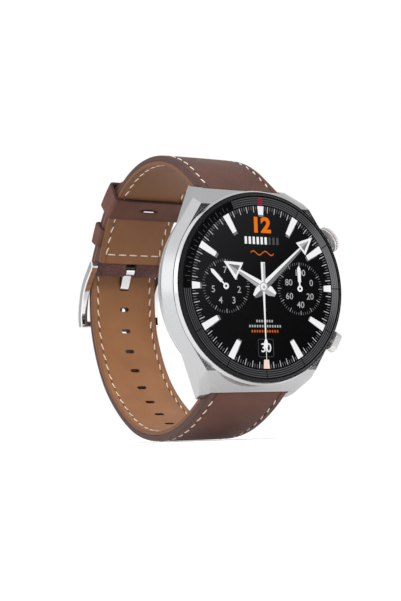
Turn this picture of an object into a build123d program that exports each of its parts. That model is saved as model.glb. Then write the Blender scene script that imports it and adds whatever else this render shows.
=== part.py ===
from build123d import *
import math
import os

# Round smartwatch on a two-piece leather strap, buckled into a loop.
#
# Frame: the watch stands on the lower bend of its strap. +Z runs from 6 o'clock to 12 o'clock, +X from
# 9 o'clock to 3 o'clock, and the dial faces -Y. The origin is the centre of the flat face that touches
# the wrist and takes the charger. "depth" is a distance behind the printed dial, "lift" is a distance
# from the wrist face towards the dial, and every length is in millimetres.

os.makedirs("parts", exist_ok=True)

# ---------------------------------------------------------------- driving dimensions
case_thickness = 12.8        # wrist face to printed dial
case_radius = 24.5           # round flank of the case
lug_half_width = 12.6        # ear to ear, at the tips
lug_reach = 25.5             # tips of the lugs above and below the dial centre
case_front = 0.8             # depth of the glass seat
deck_front = 1.6             # front face of the flanks and lugs, under the bezel
taper_rear = 4.6             # depth where the leaning flank reaches its full width
front_inset = 1.4            # how far the flank leans in at the deck
flank_rear = 5.3             # depth where the vertical flank ends
tub_rear = 10.2              # depth of the rear rim that carries the back cover
tub_rear_radius = 20.9
cavity_radius = 21.2
back_opening_radius = 18.6

glass_radius = 22.3
glass_front = -0.3           # depth of the outer glass surface
bezel_outer_radius = 23.0
bezel_front = 0.4
panel_radius = 20.9
panel_rear = 1.9

lug_slope_start = 18.7       # height where the lug faces start to slope back
lug_slope_end_depth = 7.9
lug_slope_end_height = 24.35

strap_width_lug = 21.4
strap_width_buckle = 19.75
taper_start = 13.0           # depths between which the strap narrows
taper_end = 71.1
ear_gap = 21.7               # nominal 22 mm lug width, less the polish on the ears
strap_thick_lug = 2.8
strap_thick_buckle = 2.4
lining_thick = 1.0
bar_depth = 9.75             # lug spring bars
bar_height = 24.05
bar_radius = 0.75
bar_tip_radius = 0.42

# The short strap follows one arc, which the free keeper slides along.
wrist_depth = 37.5
wrist_height = 1.5
wrist_radius = 33.6

buckle_bar_angle = 18.7      # seen from the wrist arc's centre
buckle_bar_reach = 35.2
buckle_bar_radius = 0.75
wrap_radius = 1.85
far_bar_depth = 77.75
far_bar_height = -1.9
far_bar_radius = 1.05
arm_inner = 10.3
arm_outer = 12.1

tail_tip_angle = 69.0
hole_pitch = 6.25
hole_length = 2.8
hole_width = 1.2

crown_angle = 30.0
crown_depth = 4.2
crown_cap_radius = 3.3
pusher_angle = -30.0
pusher_depth = 3.6
running = 0.05               # radial clearance of a shaft in its bore
gap = 0.1                    # clearance between soft pieces


# ---------------------------------------------------------------- helpers
def back(depth):
    """Row-frame Y of a depth behind the dial."""
    return depth - case_thickness


def facing(depth):
    """Plane across the watch at a depth, local axes X and Z, normal towards the viewer."""
    return Plane.XZ.offset(case_thickness - depth)


def radial(angle, depth):
    """Plane whose normal leaves the case at a clock angle, at a depth; local x runs backwards."""
    turn = math.radians(angle)
    return Plane(
        origin=(0, back(depth), 0),
        x_dir=(0, 1, 0),
        z_dir=(math.cos(turn), 0, math.sin(turn)),
    )


def polar(angle, reach):
    """Depth and height of a point seen from the centre of the wrist arc."""
    turn = math.radians(angle)
    return wrist_depth + reach * math.cos(turn), wrist_height + reach * math.sin(turn)


def side(depth, height):
    """Point in the YZ plane."""
    return back(depth), height


def save(part, label):
    """Label a finished piece and write it."""
    part.label = label
    export_step(part, f"parts/{label}.step")


# ---------------------------------------------------------------- strap centre lines
# A course is a list of (depth, height, outward depth, outward height, run) stations on the lining
# surface, the outward pair being the unit normal that leaves the wrist.
slope = math.atan2(lug_slope_end_height - lug_slope_start, lug_slope_end_depth - case_front)
lug_end_back = 1.4           # strap behind the spring bar
lug_half_thick = strap_thick_lug / 2


def short_course():
    """Short strap: a straight run off the lug, then the wrist arc down towards the buckle bar."""
    along = (math.cos(slope), math.sin(slope))
    out = (-math.sin(slope), math.cos(slope))
    start_angle = 90 + math.degrees(slope)
    stop_angle = buckle_bar_angle + 0.7
    depth = bar_depth - lug_end_back * along[0] - lug_half_thick * out[0]
    height = bar_height - lug_end_back * along[1] - lug_half_thick * out[1]
    stations = [(depth, height, out[0], out[1], 0.0)]
    join = polar(start_angle, wrist_radius)
    run = math.dist(join, (depth, height))
    count = 22
    for i in range(count + 1):
        angle = start_angle + (stop_angle - start_angle) * i / count
        point = polar(angle, wrist_radius)
        turn = math.radians(angle)
        arc = wrist_radius * math.radians(start_angle - angle)
        stations.append((point[0], point[1], math.cos(turn), math.sin(turn), run + arc))
    return stations


def course_from(edge, count):
    """Stations at even spacing along a planar edge drawn in the YZ plane, wrist on its left."""
    stations = []
    for i in range(count + 1):
        run = edge.length * i / count
        point = edge.position_at(run, position_mode=PositionMode.LENGTH)
        ahead = edge.tangent_at(run, position_mode=PositionMode.LENGTH)
        stations.append((point.Y + case_thickness, point.Z, ahead.Z, -ahead.Y, run))
    return stations


def skin(stations, low, high, first=0, last=None):
    """Side view of a layer between two distances off a course; low and high depend on the run."""
    chosen = stations[first:last]
    inner = [side(d + low(s) * nd, h + low(s) * nh) for d, h, nd, nh, s in chosen]
    outer = [side(d + high(s) * nd, h + high(s) * nh) for d, h, nd, nh, s in chosen]
    with BuildSketch(Plane.YZ) as layer:
        with BuildLine():
            Spline(*inner)
            Spline(*outer)
            Line(inner[0], outer[0])
            Line(inner[-1], outer[-1])
        make_face()
    return layer.sketch_local


def width_at(depth):
    """Strap width, narrowing from the lugs to the buckle."""
    part = max(depth - taper_start, 0) / (taper_end - taper_start)
    return strap_width_lug + (strap_width_buckle - strap_width_lug) * part


def taper_plan(bottom):
    """Plan of the narrowing strap, to intersect a strap layer with."""
    near = width_at(0) / 2
    far = width_at(90) / 2
    with BuildSketch(Plane.XY.offset(bottom)) as plan:
        Polygon(
            (-near, back(0)), (near, back(0)), (near, back(taper_start)), (far, back(90)),
            (-far, back(90)), (-near, back(taper_start)),
            align=None,
        )
    return plan.sketch


short_line = short_course()
short_length = short_line[-1][4]


def strap_thick(run, length):
    """Strap thickness, from the padded lug end to the thinner buckle end."""
    part = min(run / (length * 0.45), 1)
    return strap_thick_lug + (strap_thick_buckle - strap_thick_lug) * part


def short_thick(run):
    return strap_thick(run, short_length)


tail_reach = wrist_radius + strap_thick_buckle + 0.05
bar_clear_reach = buckle_bar_reach + wrap_radius + gap
tail_join_angle = 36.0
long_guides = [
    (16.5, -26.8), (26.0, -31.0), (37.1, -32.6), (48.6, -30.8), (58.2, -25.8), (66.0, -18.9), (71.3, -10.2),
    (73.9, -1.5), (74.0, 6.5), polar(buckle_bar_angle, bar_clear_reach + 0.1), polar(27, tail_reach + 0.25),
    polar(tail_join_angle, tail_reach),
]
with BuildLine() as long_path:
    lug_along = (math.cos(slope), -math.sin(slope))
    lug_out = (-math.sin(slope), -math.cos(slope))
    lug_start = (
        bar_depth - lug_end_back * lug_along[0] - lug_half_thick * lug_out[0],
        -bar_height - lug_end_back * lug_along[1] - lug_half_thick * lug_out[1],
    )
    join_turn = math.radians(tail_join_angle)
    join_tangent = (0, -math.sin(join_turn), math.cos(join_turn))
    Spline(
        *[(0, back(d), h) for d, h in [lug_start] + long_guides],
        tangents=[(0, lug_along[0], lug_along[1]), join_tangent],
    )
    tail_angles = (tail_join_angle, (tail_join_angle + tail_tip_angle) / 2, tail_tip_angle)
    tail_points = [polar(a, tail_reach) for a in tail_angles]
    ThreePointArc(*[(0, back(d), h) for d, h in tail_points])
long_edge = long_path.wires()[0]
long_line = course_from(long_edge, 72)
long_length = long_edge.length


def long_thick(run):
    return strap_thick(run, long_length)


def long_plane(run, lift=0.0):
    """Plane on the long strap's lining at a run, normal leaving the wrist, local x along X."""
    point = long_edge.position_at(run, position_mode=PositionMode.LENGTH)
    ahead = long_edge.tangent_at(run, position_mode=PositionMode.LENGTH)
    out = Vector(0, ahead.Z, -ahead.Y)
    return Plane(origin=point + out * lift, x_dir=(1, 0, 0), z_dir=out)


def arc_plane(angle, reach):
    """Plane tangent to the wrist arc, normal leaving the wrist, local x along X."""
    point = polar(angle, reach)
    turn = math.radians(angle)
    return Plane(
        origin=(0, back(point[0]), point[1]),
        x_dir=(1, 0, 0),
        z_dir=(0, math.cos(turn), math.sin(turn)),
    )


# ---------------------------------------------------------------- case middle
def radial_bore(angle, depth, radius, start, end):
    """Cut a round bore along a clock angle."""
    with BuildSketch(radial(angle, depth).offset(start)) as bore:
        Circle(radius)
    extrude(bore.sketch, amount=end - start, mode=Mode.SUBTRACT)


crown_bush_radius = 1.6
crown_recess_radius = 3.5
crown_recess_floor = 24.0
pusher_length = 5.0
pusher_height = 3.0
pusher_bush_radius = 1.1
inlay_depth = 0.35
# The lug faces keep one slope, so they start higher up where they leave the deck.
lug_face_rise = (lug_slope_end_height - lug_slope_start) / (lug_slope_end_depth - case_front)
deck_rise = (deck_front - case_front) * lug_face_rise


def slope_depth(height):
    """Depth of the sloping lug face at a height."""
    rise = (height - lug_slope_start) / (lug_slope_end_height - lug_slope_start)
    return case_front + rise * (lug_slope_end_depth - case_front)


with BuildPart() as case_middle:
    # The lugs are the hull of the round case and the tips, trimmed to the side profile.
    with BuildSketch(facing(14)):
        Circle(case_radius)
        Rectangle(2 * lug_half_width, 2 * lug_reach)
        make_hull()
    extrude(amount=14 - taper_rear)
    with BuildSketch(facing(taper_rear)):
        Circle(case_radius)
        Rectangle(2 * lug_half_width, 2 * lug_reach)
        make_hull()
    lean = math.degrees(math.atan2(front_inset, taper_rear - deck_front))
    extrude(amount=taper_rear - deck_front, taper=lean)
    with BuildSketch(Plane.YZ):
        for up in (1, -1):
            Polygon(
                side(deck_front, 0), side(deck_front, up * (lug_slope_start + deck_rise)),
                side(lug_slope_end_depth, up * lug_slope_end_height), side(11.8, up * lug_reach),
                side(11.4, up * 25.0), side(flank_rear, up * 14.4),
                side(flank_rear, 0),
                align=None,
            )
    extrude(amount=30, both=True, mode=Mode.INTERSECT)
    # Flat facets between the sloping lug faces and the flanks, widest at the tips.
    for across in (1, -1):
        for up in (1, -1):
            deck_end = Vector(across * 14.7, back(slope_depth(19.7)), up * 19.7)
            tip_end = Vector(across * 10.9, back(slope_depth(24.35)), up * 24.35)
            flank_end = Vector(across * 12.9, back(9.6), up * 25.0)
            outward = (deck_end - tip_end).cross(flank_end - tip_end).normalized()
            if outward.X * across < 0:
                outward = outward * -1
            with BuildSketch(Plane(origin=tip_end, x_dir=deck_end - tip_end, z_dir=outward)):
                Rectangle(20, 9)
            extrude(amount=5, mode=Mode.SUBTRACT)
    # Domed tub behind the flank, and the round drum that carries the bezel.
    with BuildSketch(Plane.XY):
        with BuildLine():
            Polyline(
                (0, back(taper_rear)), (case_radius, back(taper_rear)), (case_radius, back(flank_rear))
            )
            ThreePointArc(
                (case_radius, back(flank_rear)), (23.3, back(8.3)), (tub_rear_radius, back(tub_rear))
            )
            Polyline((tub_rear_radius, back(tub_rear)), (0, back(tub_rear)), (0, back(taper_rear)))
        make_face()
    revolve(axis=Axis.Y)
    with BuildSketch(Plane.YZ):
        for up in (1, -1):
            Polygon(
                side(deck_front, up * (lug_slope_start + deck_rise)), side(deck_front, up * 40),
                side(lug_slope_end_depth, up * 40), side(lug_slope_end_depth, up * lug_slope_end_height),
                align=None,
            )
    extrude(amount=30, both=True, mode=Mode.SUBTRACT)
    with BuildSketch(facing(9)):
        Circle(bezel_outer_radius)
    extrude(amount=9 - deck_front)
    with BuildSketch(facing(9)):
        Circle(glass_radius + running)
    extrude(amount=9 - case_front)
    # Cavity, back opening, and seats for the glass gasket and the corner inlays.
    with BuildSketch(facing(9.4)):
        Circle(cavity_radius - 0.6)
    extrude(amount=9.4 - case_front, mode=Mode.SUBTRACT)
    with BuildSketch(facing(2.3)):
        Circle(cavity_radius)
    extrude(amount=2.3 - case_front, mode=Mode.SUBTRACT)
    with BuildSketch(facing(tub_rear)):
        Circle(back_opening_radius)
    extrude(amount=2, mode=Mode.SUBTRACT)
    with BuildSketch(facing(case_front + 0.4)):
        Circle(22.05)
        Circle(cavity_radius, mode=Mode.SUBTRACT)
    extrude(amount=0.4, mode=Mode.SUBTRACT)
    with BuildSketch(facing(tub_rear)):
        Circle(19.8)
        Circle(18.9, mode=Mode.SUBTRACT)
    extrude(amount=0.35, mode=Mode.SUBTRACT)
    # Strap pockets between the ears, square to the sloping lug face, and blind holes for the spring bars.
    for up in (1, -1):
        run = (math.cos(slope), up * math.sin(slope))
        out = (-math.sin(slope), up * math.cos(slope))
        corners = [(-lug_end_back - gap, 4), (12, 4), (12, -6), (-lug_end_back - gap, -6)]
        with BuildSketch(Plane.YZ):
            Polygon(
                *[
                    side(bar_depth + t * run[0] + n * out[0], up * bar_height + t * run[1] + n * out[1])
                    for t, n in corners
                ],
                align=None,
            )
        extrude(amount=ear_gap / 2, both=True, mode=Mode.SUBTRACT)
        with BuildSketch(Plane.YZ):
            with Locations(side(bar_depth, up * bar_height)):
                Circle(bar_tip_radius + 0.03)
        extrude(amount=ear_gap / 2 + 1.1, both=True, mode=Mode.SUBTRACT)
    # Crown bore with a spot-face, pusher bore with a guide slot.
    radial_bore(crown_angle, crown_depth, crown_bush_radius, 18, 30)
    radial_bore(crown_angle, crown_depth, crown_recess_radius, crown_recess_floor, 30)
    radial_bore(pusher_angle, pusher_depth, pusher_bush_radius, 18, 30)
    with BuildSketch(radial(pusher_angle, pusher_depth).offset(23.4)):
        RectangleRounded(pusher_height + 0.2, pusher_length + 0.2, 1.4)
    extrude(amount=6, mode=Mode.SUBTRACT)
    # Pockets for the inlays that fill the corners between the bezel and the straight lug flanks.
    with BuildSketch(facing(deck_front + inlay_depth)) as inlay_plan:
        Circle(case_radius)
        Rectangle(2 * lug_half_width, 2 * lug_reach)
        make_hull()
        offset(amount=-front_inset - 0.2)
        Circle(bezel_outer_radius + 0.15, mode=Mode.SUBTRACT)
        Rectangle(60, 28.6, mode=Mode.SUBTRACT)
        Rectangle(60, 2 * lug_slope_start - 0.4, mode=Mode.INTERSECT)
    extrude(amount=2, mode=Mode.SUBTRACT)
save(case_middle.part, "case_middle")

with BuildPart() as corner_inlays:
    extrude(inlay_plan.sketch, amount=inlay_depth - 0.05)
save(corner_inlays.part, "corner_inlays")


# ---------------------------------------------------------------- glass, bezel and display
def disc(front, rear, outer, inner=0.0):
    """Round plate or ring between two depths."""
    with BuildPart() as plate:
        with BuildSketch(facing(rear)):
            Circle(outer)
            if inner:
                Circle(inner, mode=Mode.SUBTRACT)
        extrude(amount=rear - front)
    return plate.part


with BuildPart() as cover_glass:
    add(disc(glass_front, case_front, glass_radius))
    chamfer(cover_glass.edges().group_by(Axis.Y)[0], 0.7)
save(cover_glass.part, "cover_glass")

with BuildPart() as bezel_ring:
    with BuildSketch(Plane.XY):
        Polygon(
            (glass_radius + 2 * running, back(bezel_front)), (glass_radius + 0.25, back(bezel_front)),
            (bezel_outer_radius, back(deck_front - 0.2)), (bezel_outer_radius, back(deck_front)),
            (glass_radius + 2 * running, back(deck_front)),
            align=None,
        )
    revolve(axis=Axis.Y)
save(bezel_ring.part, "bezel_ring")

save(disc(case_front, case_front + 0.4, 22.0, cavity_radius + running), "glass_gasket")
save(disc(case_front, panel_rear, panel_radius), "display_panel")
save(disc(panel_rear, panel_rear + 0.2, 20.0), "display_shield")


# ---------------------------------------------------------------- inner frame and electronics
board_front = 2.6
board_rear = 3.3
web_front = 5.6
web_rear = 6.1
frame_rear = 9.4
frame_radius = 20.5
boss_reach = 16.5
boss_angles = (60, 120, 240, 300)
screw_radius = 0.6


def radial_block(angle, depth, tall, wide, start, end):
    """Block along a clock angle, tall in depth and wide around the case."""
    with BuildPart() as block:
        with BuildSketch(radial(angle, depth).offset(start)):
            Rectangle(tall, wide)
        extrude(amount=end - start)
    return block.part


def radial_rod(angle, depth, radius, start, end, bore=0.0):
    """Round rod or sleeve along a clock angle."""
    with BuildPart() as rod:
        with BuildSketch(radial(angle, depth).offset(start)):
            Circle(radius)
            if bore:
                Circle(bore, mode=Mode.SUBTRACT)
        extrude(amount=end - start)
    return rod.part


def block(front, rear, across, up, x=0.0, z=0.0, corner=0.3):
    """Rounded block between two depths."""
    with BuildPart() as piece:
        with BuildSketch(facing(rear)):
            with Locations((x, z)):
                RectangleRounded(across, up, corner)
        extrude(amount=rear - front)
    return piece.part


crown_notch = radial_block(crown_angle, crown_depth, 2.8, 4.6, 16.1, 22)
pusher_notch = radial_block(pusher_angle, pusher_depth, 2.8, 4.6, 17.85, 22)
battery_x = 3.0
battery_across = 23.0
battery_up = 22.0
motor_x = -13.6
motor_radius = 4.0
speaker_z = -15.0
speaker_across = 10.5
speaker_up = 5.0

with BuildPart() as mid_frame:
    add(disc(board_rear, frame_rear, frame_radius, 18.9))
    add(disc(panel_rear + 0.2, board_rear, frame_radius, 19.6))
    add(disc(web_front, web_rear, 19.2))
    with BuildSketch(facing(frame_rear)):
        for angle in boss_angles:
            with PolarLocations(boss_reach, 1, start_angle=angle):
                Circle(1.5)
    extrude(amount=frame_rear - web_front)
    with BuildSketch(facing(frame_rear)):
        for angle in boss_angles:
            with PolarLocations(boss_reach, 1, start_angle=angle):
                Circle(screw_radius)
    extrude(amount=2.4, mode=Mode.SUBTRACT)
    with BuildSketch(facing(web_rear + 1)):
        RectangleRounded(13, 7, 1)
    extrude(amount=3, mode=Mode.SUBTRACT)
    add(crown_notch, mode=Mode.SUBTRACT)
    add(pusher_notch, mode=Mode.SUBTRACT)
save(mid_frame.part, "mid_frame")

with BuildPart() as main_board:
    add(disc(board_front, board_rear, 19.5))
    add(crown_notch, mode=Mode.SUBTRACT)
    add(pusher_notch, mode=Mode.SUBTRACT)
save(main_board.part, "main_board")

chip_plan = ((7, 7, -3, 3), (5, 4, 6.5, -3), (3.4, 3.4, -9, -6), (4, 2.6, 4, 8.5), (2.4, 2.4, -2, -9))
with BuildPart() as board_chips:
    for across, up, x, z in chip_plan:
        add(block(board_rear, board_rear + 1.1, across, up, x, z, 0.2))
save(board_chips.part, "board_chips")

save(block(panel_rear + 0.2, board_front, 6, 2.4, 0, -11), "display_connector")
save(block(web_rear, 9.4, battery_across, battery_up, battery_x, 0, 1.5), "battery")

with BuildPart() as vibration_motor:
    with BuildSketch(facing(8.9)):
        with Locations((motor_x, 0)):
            Circle(motor_radius)
    extrude(amount=8.9 - web_rear)
save(vibration_motor.part, "vibration_motor")

save(block(web_rear, 9.2, speaker_across, speaker_up, 0, speaker_z, 0.6), "speaker")
save(block(web_rear, 7.2, 3.4, 2.6, 0, 14.6), "microphone")


# ---------------------------------------------------------------- back cover, sensors and charging pins
cover_front = tub_rear
cover_rear = 11.3
cover_radius = 20.4
window_radius = 14.0
window_flat = 10.0
well_radius = 9.3
pin_radius = 0.9
pin_height = 6.6
well_floor = 10.5
sensor_board_rear = 11.0
sensor_rear = 11.7

save(disc(tub_rear - 0.35, tub_rear, 19.75, 18.95), "back_gasket")

with BuildPart() as back_cover:
    add(disc(cover_front, cover_rear, cover_radius))
    add(disc(9.6, cover_front, back_opening_radius - running, 17.5))
    add(disc(well_floor, cover_rear, well_radius), mode=Mode.SUBTRACT)
    with BuildSketch(facing(cover_rear)):
        for angle in boss_angles:
            with PolarLocations(boss_reach, 1, start_angle=angle):
                Circle(1.15)
    extrude(amount=0.6, mode=Mode.SUBTRACT)
    with BuildSketch(facing(cover_rear)):
        for angle in boss_angles:
            with PolarLocations(boss_reach, 1, start_angle=angle):
                Circle(screw_radius + 0.1)
    extrude(amount=3, mode=Mode.SUBTRACT)
    fillet(back_cover.edges().group_by(Axis.Y)[-1].sort_by(SortBy.LENGTH)[-1], 0.5)
save(back_cover.part, "back_cover")

with BuildPart() as back_screws:
    for angle in boss_angles:
        with BuildSketch(facing(cover_rear - 0.05)):
            with PolarLocations(boss_reach, 1, start_angle=angle):
                Circle(1.1)
        extrude(amount=0.5)
        with BuildSketch(facing(cover_rear - 0.3)):
            with PolarLocations(boss_reach, 1, start_angle=angle):
                Circle(screw_radius)
        extrude(amount=3.6)
        with BuildSketch(facing(cover_rear)):
            with PolarLocations(boss_reach, 1, start_angle=angle):
                RegularPolygon(0.5, 5)
        extrude(amount=0.3, mode=Mode.SUBTRACT)
save(back_screws.part, "back_screws")

with BuildPart() as sensor_window:
    # Domed crystal with a flat middle, hollow above the sensors.
    with BuildSketch(Plane.XY):
        with BuildLine():
            Polyline((0, back(sensor_rear + 0.2)), (0, 0), (window_flat, 0))
            TangentArc((window_flat, 0), (window_radius, back(cover_rear)), tangent=(1, 0))
            Polyline(
                (window_radius, back(cover_rear)), (well_radius - 0.5, back(cover_rear)),
                (well_radius - 0.5, back(sensor_rear + 0.2)), (0, back(sensor_rear + 0.2)),
            )
        make_face()
    revolve(axis=Axis.Y)
    with BuildSketch(Plane.XZ):
        with Locations((0, pin_height), (0, -pin_height)):
            Circle(pin_radius)
    extrude(amount=3, mode=Mode.SUBTRACT)
save(sensor_window.part, "sensor_window")

with BuildPart() as charging_pins:
    with BuildSketch(Plane.XZ):
        with Locations((0, pin_height), (0, -pin_height)):
            Circle(pin_radius)
    extrude(amount=case_thickness - sensor_board_rear)
save(charging_pins.part, "charging_pins")

save(disc(well_floor, sensor_board_rear, well_radius - 0.2), "sensor_board")

with BuildPart() as optical_sensors:
    add(block(sensor_board_rear, sensor_rear, 2.6, 2.6))
    with BuildSketch(facing(sensor_rear)):
        with PolarLocations(4.2, 4, start_angle=45):
            RectangleRounded(1.8, 1.2, 0.2)
    extrude(amount=sensor_rear - sensor_board_rear)
save(optical_sensors.part, "optical_sensors")


# ---------------------------------------------------------------- crown
stem_radius = 0.9
stem_groove = 0.6
stem_inner = 17.0
stem_outer = 25.7
carrier_start = 18.5
seal_start = 22.2
crown_base_start = 24.6
accent_start = 24.95
cap_start = 25.15
cap_rim = 25.9
cap_top = 26.7

save(
    radial_rod(
        crown_angle, crown_depth, crown_bush_radius, 20.7, crown_recess_floor, stem_radius + running
    ),
    "crown_bush",
)

with BuildPart() as crown_stem:
    add(radial_rod(crown_angle, crown_depth, stem_radius, stem_inner, stem_outer))
    for start, width in ((carrier_start, 0.5), (seal_start, 0.8)):
        groove = radial_rod(crown_angle, crown_depth, 2, start, start + width, stem_groove)
        add(groove, mode=Mode.SUBTRACT)
save(crown_stem.part, "crown_stem")

save(
    radial_rod(
        crown_angle, crown_depth, stem_radius + running - 0.01, seal_start, seal_start + 0.8, stem_groove
    ),
    "crown_gasket",
)
save(
    radial_rod(
        crown_angle, crown_depth, crown_cap_radius - 0.05, crown_base_start, accent_start, stem_radius
    ),
    "crown_base",
)
save(
    radial_rod(crown_angle, crown_depth, crown_cap_radius - 0.2, accent_start, cap_start, stem_radius),
    "crown_accent_ring",
)

with BuildPart() as crown_turned:
    # Stepped cap turned about Y, with a knurled rim and a groove around the raised middle.
    with BuildSketch(Plane.XY):
        Polygon(
            (0, cap_start), (crown_cap_radius, cap_start), (crown_cap_radius, cap_rim - 0.2),
            (crown_cap_radius - 0.2, cap_rim), (2.45, cap_rim + 0.1), (2.45, cap_rim - 0.1),
            (2.2, cap_rim - 0.1),
            (2.2, cap_rim + 0.2), (1.6, cap_top - 0.25), (0.8, cap_top - 0.05), (0, cap_top),
            align=None,
        )
    revolve(axis=Axis.Y)
    with BuildSketch(Plane.XZ.offset(-cap_start)):
        with PolarLocations(crown_cap_radius + 0.05, 40):
            RegularPolygon(0.16, 4)
    extrude(amount=-1, mode=Mode.SUBTRACT)
    with BuildSketch(Plane.XZ.offset(-cap_start)):
        Circle(stem_radius)
    extrude(amount=-(stem_outer - cap_start), mode=Mode.SUBTRACT)
save(radial(crown_angle, crown_depth).location * Rot(X=90) * crown_turned.part, "crown_cap")

with BuildPart() as crown_carrier:
    add(radial_block(crown_angle, crown_depth, 2.2, 3.4, carrier_start + 0.05, carrier_start + 0.45))
    radial_bore(crown_angle, crown_depth, stem_groove + running, 18, 20)
save(crown_carrier.part, "crown_carrier")

with BuildPart() as crown_switch:
    add(radial_block(crown_angle, board_rear + 1, 2.0, 3.2, 15.0, 16.0))
    add(radial_rod(crown_angle, crown_depth, 0.7, 16.0, 16.5))
save(crown_switch.part, "crown_switch")


# ---------------------------------------------------------------- side pusher
pusher_stem_radius = 0.7
pusher_floor = 23.4
pusher_cap_start = 24.3
pusher_cap_end = 26.1

save(
    radial_rod(
        pusher_angle, pusher_depth, pusher_bush_radius, 20.6, pusher_floor, pusher_stem_radius + running
    ),
    "pusher_bush",
)

with BuildPart() as pusher_stem:
    add(radial_rod(pusher_angle, pusher_depth, pusher_stem_radius, 18.6, pusher_cap_start + 0.3))
    add(radial_rod(pusher_angle, pusher_depth, 2, 20.2, 20.5, 0.45), mode=Mode.SUBTRACT)
save(pusher_stem.part, "pusher_stem")
save(radial_rod(pusher_angle, pusher_depth, 1.2, 20.2, 20.5, 0.45), "pusher_clip")

with BuildPart() as pusher_cap:
    with BuildSketch(radial(pusher_angle, pusher_depth).offset(pusher_cap_start)):
        RectangleRounded(pusher_height, pusher_length, 1.3)
    extrude(amount=pusher_cap_end - pusher_cap_start)
    outward = Axis((0, 0, 0), tuple(radial(pusher_angle, 0).z_dir))
    fillet(pusher_cap.faces().sort_by(outward)[-1].edges(), 0.35)
    radial_bore(pusher_angle, pusher_depth, pusher_stem_radius, 24, pusher_cap_start + 0.3)
save(pusher_cap.part, "pusher_cap")

with BuildPart() as pusher_switch:
    add(radial_block(pusher_angle, board_rear + 0.95, 1.9, 3.2, 16.7, 17.7))
    add(radial_rod(pusher_angle, pusher_depth + 0.3, 0.5, 17.7, 17.95))
save(pusher_switch.part, "pusher_switch")


# ---------------------------------------------------------------- lug spring bars
bar_half = ear_gap / 2 - 0.1
tip_reach = ear_gap / 2 + 1.0
plunger_inner = 6.0
knob_x = 7.0
knob_radius = 0.45
knob_lift = 0.8              # knob standing proud of the lining
plunger_travel = 1.2


def lug_plane(up):
    """Plane across a lug bar, normal towards the wrist, local x along X."""
    return Plane(
        origin=(knob_x, back(bar_depth), up * bar_height),
        x_dir=(1, 0, 0),
        z_dir=(0, math.sin(slope), -up * math.cos(slope)),
    )


def bar_rod(up, radius, start, end):
    """Rod along X on a lug bar's axis."""
    with BuildPart() as rod:
        with BuildSketch(Plane.YZ.offset(start)):
            with Locations(side(bar_depth, up * bar_height)):
                Circle(radius)
        extrude(amount=end - start)
    return rod.part


def knob_slot(up, wide, length, reach):
    """Slot that lets the knob travel, from the bar's axis towards the wrist."""
    with BuildPart() as slot:
        with BuildSketch(lug_plane(up)):
            with Locations((-plunger_travel / 2, 0)):
                RectangleRounded(length + plunger_travel, wide, wide / 2 - 0.01)
        extrude(amount=reach)
    return slot.part


for up, place in ((1, "top"), (-1, "bottom")):
    with BuildPart() as lug_bar:
        add(bar_rod(up, bar_radius, -bar_half, bar_half))
        add(bar_rod(up, bar_tip_radius, -tip_reach, -bar_half))
        add(bar_rod(up, bar_tip_radius + 0.03, 4.5, bar_half), mode=Mode.SUBTRACT)
        add(knob_slot(up, 2 * knob_radius + 0.1, 2 * knob_radius + 0.1, 2), mode=Mode.SUBTRACT)
    save(lug_bar.part, f"lug_bar_{place}")
    with BuildPart() as plunger:
        add(bar_rod(up, bar_tip_radius, plunger_inner, tip_reach))
        with BuildSketch(lug_plane(up)):
            Circle(knob_radius)
        extrude(amount=lug_half_thick + knob_lift)
    save(plunger.part, f"lug_plunger_{place}")


# ---------------------------------------------------------------- buckle outlines
bar_at = polar(buckle_bar_angle, buckle_bar_reach)
tang_width = 2.5
tang_thick = 0.9
tang_ring = 1.55
notch_half = 1.55
arm_thick = 2.3
buckle_play = 3.0            # degrees the buckle can lift off the strap
arm_course = [
    (69.95, 13.8), (70.9, 12.85), (73.4, 10.55), (75.6, 7.93), (77.3, 3.9), (78.06, -0.6), (77.85, -1.9),
]
tang_course = [
    (70.84, 12.78), (71.9, 11.9), (73.3, 9.4), (74.75, 7.75), (76.6, 6.3), (78.3, 3.2), (79.25, -0.9),
    (79.35, -3.2),
]


def swung(points, angle):
    """Side view points turned about the buckle bar, positive lifting off the strap."""
    turn = math.radians(angle)
    turned = []
    for depth, height in points:
        along = depth - bar_at[0]
        rise = height - bar_at[1]
        new_along = along * math.cos(turn) - rise * math.sin(turn)
        new_rise = along * math.sin(turn) + rise * math.cos(turn)
        turned.append((bar_at[0] + new_along, bar_at[1] + new_rise))
    return turned


def ribbon(points, thick, round_ends):
    """Side view of a bent strip of even thickness."""
    with BuildSketch(Plane.YZ) as strip:
        with BuildLine():
            Spline(*[side(d, h) for d, h in points])
        trace(line_width=thick)
        if round_ends:
            with Locations(side(*points[0]), side(*points[-1])):
                Circle(thick / 2)
    return strip.sketch_local


# ---------------------------------------------------------------- short strap
keeper_start = 29.3
keeper_stop = 38.3
keeper_tuck = 0.6            # thickness of the fixed keeper's hidden band
recess_slack = 0.3


def arc_face(angle):
    """Plane through the wrist arc's axis, local x along X and local y away from the wrist."""
    turn = math.radians(angle)
    return Plane(
        origin=(0, back(wrist_depth), wrist_height),
        x_dir=(1, 0, 0),
        z_dir=(0, -math.sin(turn), math.cos(turn)),
    )


arc_axis = Axis((0, back(wrist_depth), wrist_height), (1, 0, 0))

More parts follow.
